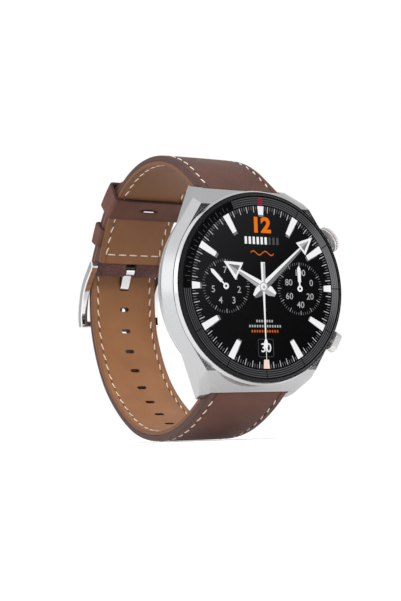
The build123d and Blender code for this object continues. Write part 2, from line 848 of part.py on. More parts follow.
with BuildPart() as strap_top_leather:
    with BuildSketch(Plane.YZ) as side_view:
        add(skin(short_line, lambda run: lining_thick, short_thick))
        with Locations(side(*bar_at)):
            Circle(wrap_radius)
            Circle(buckle_bar_radius, mode=Mode.SUBTRACT)
        with Locations(side(bar_depth, bar_height)):
            Circle(bar_radius, mode=Mode.SUBTRACT)
    extrude(amount=12, both=True)
    extrude(taper_plan(-5), amount=60, mode=Mode.INTERSECT)
    with BuildSketch(Plane.YZ):
        with Locations(side(*bar_at)):
            Circle(wrap_radius + 1.0)
    extrude(amount=notch_half, both=True, mode=Mode.SUBTRACT)
    with BuildSketch(arc_face(keeper_start - recess_slack)):
        with Locations((0, wrist_radius + lining_thick + keeper_tuck / 2)):
            Rectangle(24, keeper_tuck)
    revolve(axis=arc_axis, revolution_arc=keeper_stop - keeper_start + 2 * recess_slack, mode=Mode.SUBTRACT)
    add(knob_slot(1, 1.3, 1.3, 4), mode=Mode.SUBTRACT)
save(strap_top_leather.part, "strap_top_leather")

with BuildPart() as strap_top_lining:
    with BuildSketch(Plane.YZ):
        add(skin(short_line, lambda run: 0, lambda run: lining_thick))
        with Locations(side(*bar_at)):
            Circle(wrap_radius + 0.4, mode=Mode.SUBTRACT)
        with Locations(side(bar_depth, bar_height)):
            Circle(bar_radius, mode=Mode.SUBTRACT)
    extrude(amount=12, both=True)
    extrude(taper_plan(-5), amount=60, mode=Mode.INTERSECT)
    with BuildSketch(Plane.YZ):
        with Locations(side(*bar_at)):
            Circle(wrap_radius + 1.0)
    extrude(amount=notch_half, both=True, mode=Mode.SUBTRACT)
    add(knob_slot(1, 1.3, 1.3, 4), mode=Mode.SUBTRACT)
save(strap_top_lining.part, "strap_top_lining")


# ---------------------------------------------------------------- long strap
first_hole_run = 86.0        # hole next to the one in use, towards the lug
hole_count = 8
tip_half = 1.5
strap_holes = [first_hole_run - hole_pitch * i for i in range(hole_count)]
strap_holes.append(first_hole_run + 2 * hole_pitch)

with BuildPart() as tail_trim:
    with BuildSketch(arc_plane(tail_tip_angle, tail_reach)):
        for hand in (1, -1):
            with BuildLine():
                Spline((hand * tip_half, 0), (hand * 5.6, 2.0), (hand * 8.6, 5.2), (hand * 11, 12))
                Polyline(
                    (hand * 11, 12), (hand * 14, 12), (hand * 14, -2), (hand * tip_half, -2),
                    (hand * tip_half, 0),
                )
            make_face()
    extrude(amount=5, both=True)

with BuildPart() as tang_passage:
    with BuildSketch(Plane.YZ):
        add(ribbon(swung(tang_course[:6], buckle_play / 2), tang_thick + 0.9, False))
    extrude(amount=hole_length / 2, both=True)

for label, low, high in (
    ("strap_bottom_leather", lambda run: lining_thick, long_thick),
    ("strap_bottom_lining", lambda run: 0, lambda run: lining_thick),
):
    with BuildPart() as layer:
        with BuildSketch(Plane.YZ):
            add(skin(long_line, low, high))
            with Locations(side(bar_depth, -bar_height)):
                Circle(bar_radius, mode=Mode.SUBTRACT)
        extrude(amount=12, both=True)
        extrude(taper_plan(-40), amount=90, mode=Mode.INTERSECT)
        add(tail_trim.part, mode=Mode.SUBTRACT)
        add(tang_passage.part, mode=Mode.SUBTRACT)
        add(knob_slot(-1, 1.3, 1.3, 4), mode=Mode.SUBTRACT)
        for run in strap_holes:
            with BuildSketch(long_plane(run, -1)) as hole:
                RectangleRounded(hole_length, hole_width, hole_width / 2 - 0.01)
            extrude(hole.sketch, amount=5, mode=Mode.SUBTRACT)
    save(layer.part, label)


# ---------------------------------------------------------------- keepers
slide_centre = 52.5
slide_half = 6.0
slide_inner = wrist_radius - gap
slide_outer = tail_reach + strap_thick_buckle + gap
slide_wall = 0.95
slide_half_width = 10.25
tuck_half_width = 10.1
tuck_wall = 0.9
staple_radius = 0.2

with BuildPart() as free_keeper:
    with BuildSketch(arc_face(slide_centre - slide_half)):
        with Locations((0, (slide_inner + slide_outer) / 2)):
            slide_gap = slide_outer - slide_inner
            RectangleRounded(2 * (slide_half_width + slide_wall), slide_gap + 2 * slide_wall, 0.9)
            Rectangle(2 * slide_half_width, slide_gap, mode=Mode.SUBTRACT)
    revolve(axis=arc_axis, revolution_arc=2 * slide_half)
    with BuildSketch(arc_plane(slide_centre, slide_inner - slide_wall - 1)):
        RectangleRounded(3.6, 1.0, 0.45)
    extrude(amount=1.3, mode=Mode.SUBTRACT)
save(free_keeper.part, "free_keeper")

with BuildPart() as keeper_staple:
    with BuildSketch(arc_plane(slide_centre, slide_inner - slide_wall + 0.3 - 2 * staple_radius)):
        RectangleRounded(3.0, 2 * staple_radius, 0.15)
    extrude(amount=2 * staple_radius)
save(keeper_staple.part, "keeper_staple")

tuck_low = wrist_radius + lining_thick
tuck_high = slide_outer + 0.2

with BuildPart() as fixed_keeper:
    with BuildSketch(arc_face(keeper_start)):
        with Locations((0, (tuck_low + tuck_high + tuck_wall) / 2)):
            RectangleRounded(2 * (tuck_half_width + tuck_wall), tuck_high + tuck_wall - tuck_low, 0.55)
        with Locations((0, (tuck_low + keeper_tuck + tuck_high) / 2)):
            Rectangle(2 * tuck_half_width, tuck_high - tuck_low - keeper_tuck, mode=Mode.SUBTRACT)
    revolve(axis=arc_axis, revolution_arc=keeper_stop - keeper_start)
save(fixed_keeper.part, "fixed_keeper")


# ---------------------------------------------------------------- buckle
with BuildPart() as buckle_bar:
    with BuildSketch(Plane.YZ):
        with Locations(side(*bar_at)):
            Circle(buckle_bar_radius)
    extrude(amount=arm_outer, both=True)
save(buckle_bar.part, "buckle_bar")

with BuildPart() as buckle_frame:
    with BuildSketch(Plane.YZ) as arm_side:
        add(ribbon(arm_course, arm_thick, True))
    extrude(arm_side.sketch, amount=arm_outer, both=True)
    with BuildSketch(Plane.YZ) as window:
        Rectangle(200, 200)
    extrude(window.sketch, amount=arm_inner, both=True, mode=Mode.SUBTRACT)
    fillet(buckle_frame.edges().filter_by(lambda e: abs(abs(e.center().X) - arm_outer) < 0.01), 0.3)
    with BuildSketch(Plane.YZ) as far_bar:
        with Locations(side(far_bar_depth, far_bar_height)):
            Circle(far_bar_radius)
    extrude(far_bar.sketch, amount=arm_inner + 0.5, both=True)
    with BuildSketch(Plane.YZ) as pivot:
        with Locations(side(*bar_at)):
            Circle(buckle_bar_radius + running)
    extrude(pivot.sketch, amount=arm_outer, both=True, mode=Mode.SUBTRACT)
save(buckle_frame.part, "buckle_frame")

with BuildPart() as buckle_tang:
    with BuildSketch(Plane.YZ) as tang_side:
        add(ribbon(tang_course, tang_thick, False))
        with Locations(side(*tang_course[-1])):
            Circle(tang_thick / 2)
        with Locations(side(*bar_at)):
            Circle(tang_ring)
            Circle(buckle_bar_radius + running, mode=Mode.SUBTRACT)
    extrude(tang_side.sketch, amount=tang_width / 2, both=True)
save(buckle_tang.part, "buckle_tang")
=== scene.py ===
import math

import bmesh
import bpy
import numpy as np
from mathutils import Matrix, Vector


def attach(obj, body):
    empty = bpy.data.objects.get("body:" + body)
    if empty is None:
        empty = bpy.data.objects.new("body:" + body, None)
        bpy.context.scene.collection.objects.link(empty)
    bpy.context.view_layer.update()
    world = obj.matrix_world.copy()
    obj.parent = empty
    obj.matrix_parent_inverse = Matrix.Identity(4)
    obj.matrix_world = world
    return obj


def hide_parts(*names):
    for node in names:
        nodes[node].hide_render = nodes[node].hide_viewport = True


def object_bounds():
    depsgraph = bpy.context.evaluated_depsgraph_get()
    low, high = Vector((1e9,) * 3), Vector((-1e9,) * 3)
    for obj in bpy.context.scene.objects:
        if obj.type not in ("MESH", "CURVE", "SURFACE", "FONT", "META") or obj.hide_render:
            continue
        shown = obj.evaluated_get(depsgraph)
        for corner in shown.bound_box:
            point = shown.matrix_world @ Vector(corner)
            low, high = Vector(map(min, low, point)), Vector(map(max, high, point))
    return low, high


MM = 0.001
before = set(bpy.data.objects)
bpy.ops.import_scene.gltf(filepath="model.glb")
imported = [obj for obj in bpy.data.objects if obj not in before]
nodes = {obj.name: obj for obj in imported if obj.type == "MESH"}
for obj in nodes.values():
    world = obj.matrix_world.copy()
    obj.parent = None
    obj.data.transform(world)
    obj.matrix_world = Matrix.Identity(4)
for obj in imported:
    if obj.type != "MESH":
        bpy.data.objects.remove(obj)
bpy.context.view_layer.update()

# Driving sizes, in millimetres, in a frame whose depth runs back from the printed dial.
THICK = 12.8
WRIST_D, WRIST_Z, WRIST_R = 37.5, 1.5, 33.6
LUG_SLOPE = math.atan2(24.35 - 18.7, 7.9 - 0.8)
LUG_BACK = 1.4
BAR_D, BAR_Z = 9.75, 24.05
LINING = 1.0
THICK_LUG, THICK_BUCKLE = 2.8, 2.4
WIDE_LUG, WIDE_BUCKLE = 21.4, 19.75                # strap width where it starts and ends its taper
TAPER_START, TAPER_END = 13.0, 71.1
GLASS_EDGE = 0.0216                                # metres from the dial axis to the inked edge
TAIL_R = WRIST_R + THICK_BUCKLE + 0.05
TAIL_TIP, TAIL_JOIN = 69.0, 36.0
BUCKLE_ANGLE, BUCKLE_REACH, WRAP_R = 18.7, 35.2, 1.85
STITCH_IN = 1.75


def pt(x, depth, height):
    """Point across, behind the printed dial and up, from millimetres to metres."""
    return Vector((x * MM, (depth - THICK) * MM, height * MM))


def polar(angle, reach):
    a = math.radians(angle)
    return WRIST_D + reach * math.cos(a), WRIST_Z + reach * math.sin(a)


# ---------------------------------------------------------------- material helpers
class Nodes:
    """Small builder for a node material."""

    def __init__(self, name):
        self.mat = bpy.data.materials.new(name)
        self.mat.use_nodes = True
        self.tree = self.mat.node_tree
        self.tree.nodes.clear()
        self.out = self.tree.nodes.new("ShaderNodeOutputMaterial")

    def add(self, kind, inputs=None, **props):
        n = self.tree.nodes.new(kind)
        for k, v in props.items():
            setattr(n, k, v)
        for k, v in (inputs or {}).items():
            if isinstance(v, bpy.types.NodeSocket):
                self.tree.links.new(v, n.inputs[k])
            else:
                n.inputs[k].default_value = v
        return n

    def coords(self, scale=(1, 1, 1), rotation=(0, 0, 0)):
        c = self.add("ShaderNodeTexCoord")
        m = self.add("ShaderNodeMapping", {"Vector": c.outputs["Object"], "Scale": scale, "Rotation": rotation})
        return m.outputs[0]

    def noise(self, scale, detail=3.0, rough=0.5, vector=None):
        vector = vector or self.coords()
        ins = {"Vector": vector, "Scale": scale, "Detail": detail, "Roughness": rough}
        return self.add("ShaderNodeTexNoise", ins).outputs["Fac"]

    def ramp(self, fac, stops):
        n = self.add("ShaderNodeValToRGB", {"Fac": fac})
        e = n.color_ramp.elements
        while len(e) < len(stops):
            e.new(0.5)
        for item, (pos, col) in zip(e, stops):
            item.position = pos
            item.color = col if len(col) == 4 else (*col, 1)
        return n.outputs["Color"]

    def math(self, op, a, b=0.0):
        return self.add("ShaderNodeMath", {0: a, 1: b}, operation=op).outputs[0]

    def mix(self, fac, a, b):
        n = self.add("ShaderNodeMix", data_type="RGBA")
        for k, v in ((0, fac), (6, a), (7, b)):
            if isinstance(v, bpy.types.NodeSocket):
                self.tree.links.new(v, n.inputs[k])
            else:
                n.inputs[k].default_value = v if k == 0 or len(v) == 4 else (*v, 1)
        return n.outputs[2]

    def bump(self, height, distance, strength=1.0):
        ins = {"Height": height, "Distance": distance, "Strength": strength}
        return self.add("ShaderNodeBump", ins).outputs[0]

    def span(self, value, low, high, to_low, to_high):
        """Value stretched from one range to another, held at the ends."""
        ins = {"Value": value, "From Min": low, "From Max": high, "To Min": to_low, "To Max": to_high}
        return self.add("ShaderNodeMapRange", ins).outputs[0]

    def attr(self, name):
        return self.add("ShaderNodeAttribute", attribute_name=name).outputs["Fac"]

    def surface(self, **inputs):
        p = self.add("ShaderNodeBsdfPrincipled", {k.replace("_", " "): v for k, v in inputs.items()})
        self.tree.links.new(p.outputs[0], self.out.inputs[0])
        return self.mat


def srgb(r, g, b):
    def lin(c):
        c /= 255
        return c / 12.92 if c <= 0.04045 else ((c + 0.055) / 1.055) ** 2.4
    return (lin(r), lin(g), lin(b), 1)


def metal(name, colour, rough, stretch=None, grain=0.0, dirt=0.12, scale=900.0, metallic=1.0):
    """Metal with directional brushing, faint smudges and rubbed high spots."""
    m = Nodes(name)
    smudge = m.noise(160, 4, 0.6)
    tint = m.mix(m.math("MULTIPLY", smudge, dirt), colour, tuple(c * 0.72 for c in colour[:3]))
    line = m.noise(scale, 2, 0.6, m.coords(stretch or (1, 1, 1)))
    wear = m.math("ADD", m.math("MULTIPLY", smudge, 0.5), m.math("MULTIPLY", line, 0.5))
    r = m.span(wear, 0.3, 0.7, rough * 0.8, rough * 1.25)
    extra = {"Normal": m.bump(line, grain * MM)} if grain else {}
    return m.surface(Base_Color=tint, Metallic=metallic, Roughness=r, **extra)


def plastic(name, colour, rough, grain=0.01, scale=4000.0, coat=0.0):
    m = Nodes(name)
    fine = m.noise(scale, 3, 0.6)
    tint = m.mix(m.noise(250, 3), colour, tuple(c * 0.75 for c in colour[:3]))
    return m.surface(Base_Color=tint, Roughness=rough, Coat_Weight=coat, Normal=m.bump(fine, grain * MM))


def glow(name, colour, strength=1.0):
    """Lit pixels of the dial, with a faint unevenness."""
    m = Nodes(name)
    c = m.mix(m.math("MULTIPLY", m.noise(900, 2), 0.12), colour, tuple(v * 0.7 for v in colour[:3]))
    e = m.add("ShaderNodeEmission", {"Color": c, "Strength": strength})
    m.tree.links.new(e.outputs[0], m.out.inputs[0])
    return m.mat


def leather(name, colour, dark, edge, grain, pores, rough, sheen, painted_top_shade=0.0):
    """Waxed leather: pebbled grain, colour clouds, burnished edges and dark needle grooves, with an optional
    painted shade that darkens it towards the top.
    """
    m = Nodes(name)
    cloud = m.noise(90, 4, 0.6)
    mottled = m.mix(m.ramp(cloud, [(0.32, (0, 0, 0)), (0.68, (1, 1, 1))]), colour, dark)
    cell = m.add("ShaderNodeTexVoronoi", {"Vector": m.coords(), "Scale": pores, "Randomness": 0.9},
                 feature="DISTANCE_TO_EDGE")
    crease = m.ramp(cell.outputs["Distance"], [(0.0, (0, 0, 0)), (0.16, (1, 1, 1))])
    fine = m.noise(pores * 2.2, 3, 0.6)
    shade = m.mix(m.math("MULTIPLY", m.math("SUBTRACT", 1.0, crease), 0.28), mottled, dark)
    flecks = m.ramp(m.noise(pores * 0.8, 2), [(0.62, (0, 0, 0)), (0.72, (1, 1, 1))])
    shade = m.mix(m.math("MULTIPLY", flecks, 0.10), shade, tuple(min(1, c * 1.6) for c in colour[:3]))
    # Painted shade: the leather darkens towards the top, standing in for the shade under the strap's arch.
    if painted_top_shade:
        tall = m.add("ShaderNodeSeparateXYZ", {0: m.coords()}).outputs[2]
        top_shade_amount = m.span(tall, -0.02, 0.034, 0.0, painted_top_shade)
        shade = m.mix(top_shade_amount, shade, tuple(c * 0.4 for c in dark[:3]))
    # The groove mask darkens the needle grooves, and on the loose keeper also the dimple round the staple,
    # where the darkening is painted shade.
    shade = m.mix(m.attr("groove"), shade, tuple(c * 0.45 for c in dark[:3]))
    shade = m.mix(m.attr("edge"), shade, edge)
    height = m.math("ADD", m.math("MULTIPLY", crease, 0.7), m.math("MULTIPLY", fine, 0.3))
    r = m.math("ADD", rough - 0.08, m.math("MULTIPLY", cloud, 0.16))
    return m.surface(Base_Color=shade, Roughness=r, Specular_IOR_Level=0.22, Sheen_Weight=sheen,
                     Sheen_Roughness=0.4, Normal=m.bump(height, grain * MM, 0.8))


M = {}
M["steel"] = metal("satin_steel", (0.47, 0.475, 0.48, 1), 0.24, (0.15, 1, 0.15), 0.0002, 0.06, 9000)
M["polished"] = metal("polished_steel", (0.72, 0.72, 0.73, 1), 0.1, None, 0.0, 0.05)
M["bezel"] = metal("turned_bezel", (0.56, 0.56, 0.57, 1), 0.16, (0.2, 3, 0.2), 0.0001, 0.05, 6000)
M["crown"] = metal("brushed_crown", (0.7, 0.685, 0.68, 1), 0.45, (1, 0.1, 1), 0.0, 0.06, 7000, 0.5)
M["turned"] = metal("turned_steel", (0.55, 0.55, 0.56, 1), 0.3, (0.1, 1, 0.1), 0.003)
M["rubber"] = plastic("black_rubber", (0.015, 0.015, 0.015, 1), 0.7)
M["back"] = plastic("back_shell", (0.02, 0.02, 0.022, 1), 0.42, 0.012, 5000)
M["board"] = plastic("board", (0.02, 0.11, 0.05, 1), 0.4)
M["chip"] = plastic("chip", (0.02, 0.02, 0.022, 1), 0.5)
M["foil"] = metal("foil", (0.55, 0.56, 0.58, 1), 0.35, None, 0.02, 0.2, 500)
M["gold"] = metal("gold_contact", (0.83, 0.6, 0.25, 1), 0.2, None, 0.002)
M["crystal"] = plastic("dark_crystal", (0.006, 0.006, 0.008, 1), 0.06, 0.0005, 800, 0.6)
M["rim_black"] = plastic("rim_black", (0.003, 0.003, 0.003, 1), 0.5, 0.0001, 900)
M["lens"] = plastic("sensor_lens", (0.03, 0.14, 0.06, 1), 0.12, 0.002, 900, 0.4)
M["red"] = plastic("red_enamel", srgb(150, 40, 52), 0.28, 0.004, 2500, 0.5)
M["hide"] = leather("brown_hide", srgb(98, 61, 49), srgb(80, 48, 38), srgb(72, 50, 47), 0.05, 2300, 0.52, 0.015)
M["hide_dark"] = leather("wrapped_hide", srgb(112, 74, 70), srgb(52, 32, 30), srgb(58, 42, 40),
                         0.3, 1300, 0.36, 0.05)
# The lining's last value, 0.8, is painted shade that darkens it towards the top.
M["lining"] = leather("tan_lining", srgb(160, 113, 78), srgb(146, 99, 66), srgb(104, 68, 46),
                      0.022, 3600, 0.5, 0.03, 0.8)
_t = Nodes("waxed_thread")
_skew = _t.coords((1, 1, 1), (0.4, 0.7, 0.6))
_twist = _t.add("ShaderNodeTexWave", {"Vector": _skew, "Scale": 700.0, "Distortion": 2.0})
M["thread"] = _t.surface(
    Base_Color=_t.mix(_twist.outputs["Fac"], srgb(236, 226, 210), srgb(196, 182, 164)),
    Roughness=0.6, Sheen_Weight=0.3, Normal=_t.bump(_twist.outputs["Fac"], 0.03 * MM),
)

# Dial glass: clear, with a thin reflection that grows at grazing angles, and a black inked edge.
_g = Nodes("dial_glass")
_fr = _g.add("ShaderNodeFresnel", {"IOR": 1.45})
_gl = _g.add("ShaderNodeBsdfGlossy", {"Color": (1, 1, 1, 1), "Roughness": 0.02})
_tr = _g.add("ShaderNodeBsdfTransparent", {"Color": (0.985, 0.99, 1, 1)})
_clear = _g.add("ShaderNodeMixShader", {0: _g.math("MULTIPLY", _fr.outputs[0], 0.8),
                                        1: _tr.outputs[0], 2: _gl.outputs[0]})
_at = _g.add("ShaderNodeSeparateXYZ", {0: _g.add("ShaderNodeTexCoord").outputs["Object"]})
_across, _up = (_g.math("POWER", _at.outputs[k], 2.0) for k in (0, 2))
_radius = _g.math("SQRT", _g.math("ADD", _across, _up))
_gleam = _g.math("ADD", 0.12, _g.math("MULTIPLY", _g.noise(300, 3), 0.1))
_rim = _g.add("ShaderNodeBsdfPrincipled", {"Base Color": (0.004, 0.004, 0.004, 1), "Roughness": 0.42,
                                           "Specular IOR Level": _gleam})
_edge = _g.add("ShaderNodeMixShader", {0: _g.math("GREATER_THAN", _radius, GLASS_EDGE),
                                       1: _clear.outputs[0], 2: _rim.outputs[0]})
_g.tree.links.new(_edge.outputs[0], _g.out.inputs[0])
M["glass"] = _g.mat

# Knurled inlays: crossed fine lines.
_k = Nodes("knurled_inlay")
_cuts = [
    _k.add("ShaderNodeTexWave", {"Vector": _k.coords((1, 0, 1), (0, lean, 0)), "Scale": 560.0},
           bands_direction="X").outputs["Fac"]
    for lean in (0.79, -0.79)
]
_h = _k.math("MULTIPLY", *_cuts)
M["inlay"] = _k.surface(Base_Color=_k.mix(_h, (0.07, 0.07, 0.075), (0.42, 0.42, 0.43)), Metallic=1.0,
                        Roughness=0.35, Normal=_k.bump(_h, 0.08 * MM))


def dress(node, key):
    mesh = nodes[node].data
    mesh.materials.clear()
    mesh.materials.append(M[key])


for key, members in {
    "steel": "case_middle",
    "bezel": "bezel_ring",
    "crown": "crown_base crown_cap pusher_cap",
    "polished": "buckle_bar buckle_frame buckle_tang keeper_staple "
                "lug_bar_top lug_bar_bottom lug_plunger_top lug_plunger_bottom",
    "turned": "back_screws crown_bush crown_stem crown_carrier pusher_bush pusher_stem "
              "pusher_clip microphone vibration_motor display_shield",
    "inlay": "corner_inlays",
    "rubber": "glass_gasket back_gasket crown_gasket",
    "back": "back_cover mid_frame",
    "board": "main_board sensor_board",
    "chip": "board_chips display_connector speaker crown_switch pusher_switch",
    "foil": "battery",
    "gold": "charging_pins",
    "crystal": "sensor_window",
    "lens": "optical_sensors",
    "red": "crown_accent_ring",
    "glass": "cover_glass",
}.items():
    for member in members.split():
        dress(member, key)


# ---------------------------------------------------------------- mesh helpers
def make(name, verts, faces, material, body, smooth=35, replaced=(), slot=None):
    """Mesh object in metres that rides a body; edges sharper than smooth degrees stay sharp."""
    mesh = bpy.data.meshes.new(name)
    mesh.from_pydata([tuple(v) for v in verts], [], [tuple(f) for f in faces])
    mesh.materials.append(material)
    obj = bpy.data.objects.new(name, mesh)
    bpy.context.scene.collection.objects.link(obj)
    settle(obj, smooth)
    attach(obj, body)
    if replaced:
        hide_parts(*replaced)
    return obj


def settle(obj, smooth=35):
    """Outward normals, smooth shading, sharp creases."""
    bm = bmesh.new()
    bm.from_mesh(obj.data)
    bmesh.ops.remove_doubles(bm, verts=bm.verts, dist=1e-7)
    bmesh.ops.recalc_face_normals(bm, faces=bm.faces)
    limit = math.radians(smooth)
    for f in bm.faces:
        f.smooth = True
    for e in bm.edges:
        e.smooth = len(e.link_faces) == 2 and e.calc_face_angle(0) < limit
    bm.to_mesh(obj.data)
    bm.free()


def paint(obj, name, values):
    a = obj.data.attributes.new(name, "FLOAT", "POINT")
    a.data.foreach_set("value", values)


def carve(obj, verts, faces, material_index=0):
    """Cut closed cutters out of an object and keep the result as its mesh."""
    mesh = bpy.data.meshes.new("cutter")
    mesh.from_pydata([tuple(v) for v in verts], [], faces)
    for m in obj.data.materials:
        mesh.materials.append(m)
    for p in mesh.polygons:
        p.material_index = material_index
    cutter = bpy.data.objects.new("cutter", mesh)
    bpy.context.scene.collection.objects.link(cutter)
    bm = bmesh.new()
    bm.from_mesh(mesh)
    bmesh.ops.recalc_face_normals(bm, faces=bm.faces)
    bm.to_mesh(mesh)
    bm.free()
    mod = obj.modifiers.new("cut", "BOOLEAN")
    mod.operation, mod.object, mod.solver = "DIFFERENCE", cutter, "EXACT"
    dg = bpy.context.evaluated_depsgraph_get()
    fresh = bpy.data.meshes.new_from_object(obj.evaluated_get(dg), depsgraph=dg)
    obj.modifiers.clear()
    obj.data = fresh
    bpy.data.objects.remove(cutter)


def prism(outline, frame_point, start, stop):
    """Closed prism: outline points (u, v) placed by frame_point(u, v, lift)."""
    n = len(outline)
    verts = [frame_point(u, v, start) for u, v in outline] + [frame_point(u, v, stop) for u, v in outline]
    faces = [[i, (i + 1) % n, n + (i + 1) % n, n + i] for i in range(n)]
    faces += [list(range(n))[::-1], list(range(n, 2 * n))]
    return verts, faces


def join(parts):
    verts, faces = [], []
    for v, f in parts:
        base = len(verts)
        verts += v
        faces += [[i + base for i in face] for face in f]
    return verts, faces


# ---------------------------------------------------------------- strap courses
def clamped(points, start, stop, dense=60):
    """Smooth cubic curve through points with given end directions, as a dense polyline."""
    p = np.array(points, float)
    h = np.linalg.norm(np.diff(p, axis=0), axis=1)
    n = len(p)
    a, rhs = np.zeros((n, n)), np.zeros((n, 2))
    a[0, 0] = a[-1, -1] = 1
    rhs[0], rhs[-1] = start, stop
    for i in range(1, n - 1):
        a[i, i - 1:i + 2] = h[i], 2 * (h[i - 1] + h[i]), h[i - 1]
        rhs[i] = 3 * (h[i - 1] / h[i] * (p[i + 1] - p[i]) + h[i] / h[i - 1] * (p[i] - p[i - 1]))
    m = np.linalg.solve(a, rhs)
    line = []
    for i in range(n - 1):
        for k in range(dense):
            t = k / dense
            line.append((2 * t**3 - 3 * t**2 + 1) * p[i] + (t**3 - 2 * t**2 + t) * h[i] * m[i]
                        + (3 * t**2 - 2 * t**3) * p[i + 1] + (t**3 - t**2) * h[i] * m[i + 1])
    line.append(p[-1])
    return np.array(line)


class Course:
    """A curve on the lining surface, by run, with an outward normal."""

    def __init__(self, line, side):
        self.line = np.array(line, float)
        self.run = np.concatenate([[0], np.cumsum(np.linalg.norm(np.diff(self.line, axis=0), axis=1))])
        self.length = self.run[-1]
        self.side = side

    def at(self, s):
        q = [np.interp(s, self.run, self.line[:, k]) for k in (0, 1)]
        e = 0.25
        a = [np.interp(max(s - e, 0), self.run, self.line[:, k]) for k in (0, 1)]
        b = [np.interp(min(s + e, self.length), self.run, self.line[:, k]) for k in (0, 1)]
        t = np.array(b) - np.array(a)
        t /= np.linalg.norm(t)
        return np.array(q), t, np.array((t[1], -t[0])) * self.side

    def place(self, x, s, lift):
        q, t, n = self.at(s)
        return pt(x, q[0] + n[0] * lift, q[1] + n[1] * lift)


def lug_start(up):
    along = (math.cos(LUG_SLOPE), up * math.sin(LUG_SLOPE))
    out = (-math.sin(LUG_SLOPE), up * math.cos(LUG_SLOPE))
    return along, (BAR_D - LUG_BACK * along[0] - THICK_LUG / 2 * out[0],
                   up * BAR_Z - LUG_BACK * along[1] - THICK_LUG / 2 * out[1])


along, first = lug_start(-1)
guides = [
    (16.5, -26.8), (26.0, -31.0), (37.1, -32.6), (48.6, -30.8), (58.2, -25.8), (66.0, -18.9), (71.3, -10.2),
    (73.9, -1.5), (74.0, 6.5), polar(BUCKLE_ANGLE, BUCKLE_REACH + WRAP_R + 0.2), polar(27, TAIL_R + 0.25),
    polar(TAIL_JOIN, TAIL_R),
]
turn = math.radians(TAIL_JOIN)
long_line = clamped([first] + guides, along, (-math.sin(turn), math.cos(turn)))
tail = [polar(TAIL_JOIN + (TAIL_TIP - TAIL_JOIN) * i / 60, TAIL_R) for i in range(1, 61)]
LONG = Course(np.vstack([long_line, tail]), 1)
along, first = lug_start(1)
arc = [polar(a, WRIST_R) for a in np.linspace(90 + math.degrees(LUG_SLOPE), BUCKLE_ANGLE + 3.2, 160)]
lead = [tuple(np.array(first) + (np.array(arc[0]) - np.array(first)) * i / 10) for i in range(10)]
SHORT = Course(lead + arc, -1)


def half_width(depth):
    """Half the strap's width at a depth behind the dial."""
    along_taper = max(depth - TAPER_START, 0) / (TAPER_END - TAPER_START)
    return (WIDE_LUG + (WIDE_BUCKLE - WIDE_LUG) * along_taper) / 2


def thick_at(s, length):
    return THICK_LUG + (THICK_BUCKLE - THICK_LUG) * min(s / (length * 0.45), 1)


TIP = [(0, 1.5), (0.5, 3.1), (2.0, 5.6), (5.2, 8.6), (8.0, 9.9), (12, 11)]


def tip_half(s):
    """Half width allowed by the pointed end of the long strap."""
    d = LONG.length - s
    return float(np.interp(d, [a for a, _ in TIP], [b for _, b in TIP]))


STATION = 0.7                                      # run between strap sections
TIP_LONG = 13                                      # run of closer sections at the pointed end
INSET = [0.45, 0.8, 1.15, 1.4, 1.55, 1.65, 1.75, 1.85, 1.95, 2.1, 2.35, 2.8, 3.5, 4.5, 5.6, 6.8, 8.1]


def dip(inset):
    """Depth of the needle groove at an inset from the strap edge, 0 to 1."""
    return math.exp(-(((inset - STITCH_IN) / 0.2) ** 2))


def ring_rows(w, low, high, groove_side, corner):
    """Closed rounded section of a strap layer, round from the top by +x: (x, lift, edge, groove)."""
    k = min(1.0, (w - 0.3) / 8.6)
    r, rb = min(corner, (high - low) * 0.45), min(0.22, (high - low) * 0.45, corner)
    crown = 0.10 if groove_side > 0 else 0.0
    top, bottom = [], []
    for inset in [d * k for d in INSET if d >= corner]:
        g = dip(inset / k) if k > 0.99 else 0
        x = w - inset
        on_top, below = (g, 0.0) if groove_side > 0 else (0.0, g)
        top.append((x, high - 0.15 * on_top - crown * (x / w) ** 4, 0.0, on_top))
        bottom.append((x, low + 0.13 * below, 0.0, below))
    side = []
    for q in range(5):
        a = math.radians(90 - 90 * q / 4)
        lift = high - r + r * math.sin(a) - crown * (1 - q / 4)
        side.append((w - r + r * math.cos(a), lift, 0.35 + 0.65 * q / 4, 0.0))
    for q in range(4):
        a = math.radians(-90 * q / 3)
        side.append((w - rb + rb * math.cos(a), low + rb + rb * math.sin(a), 1.0 - 0.5 * q / 3, 0.0))
    half = top[::-1] + side + bottom
    return half + [(-x, *rest) for x, *rest in half[::-1]]


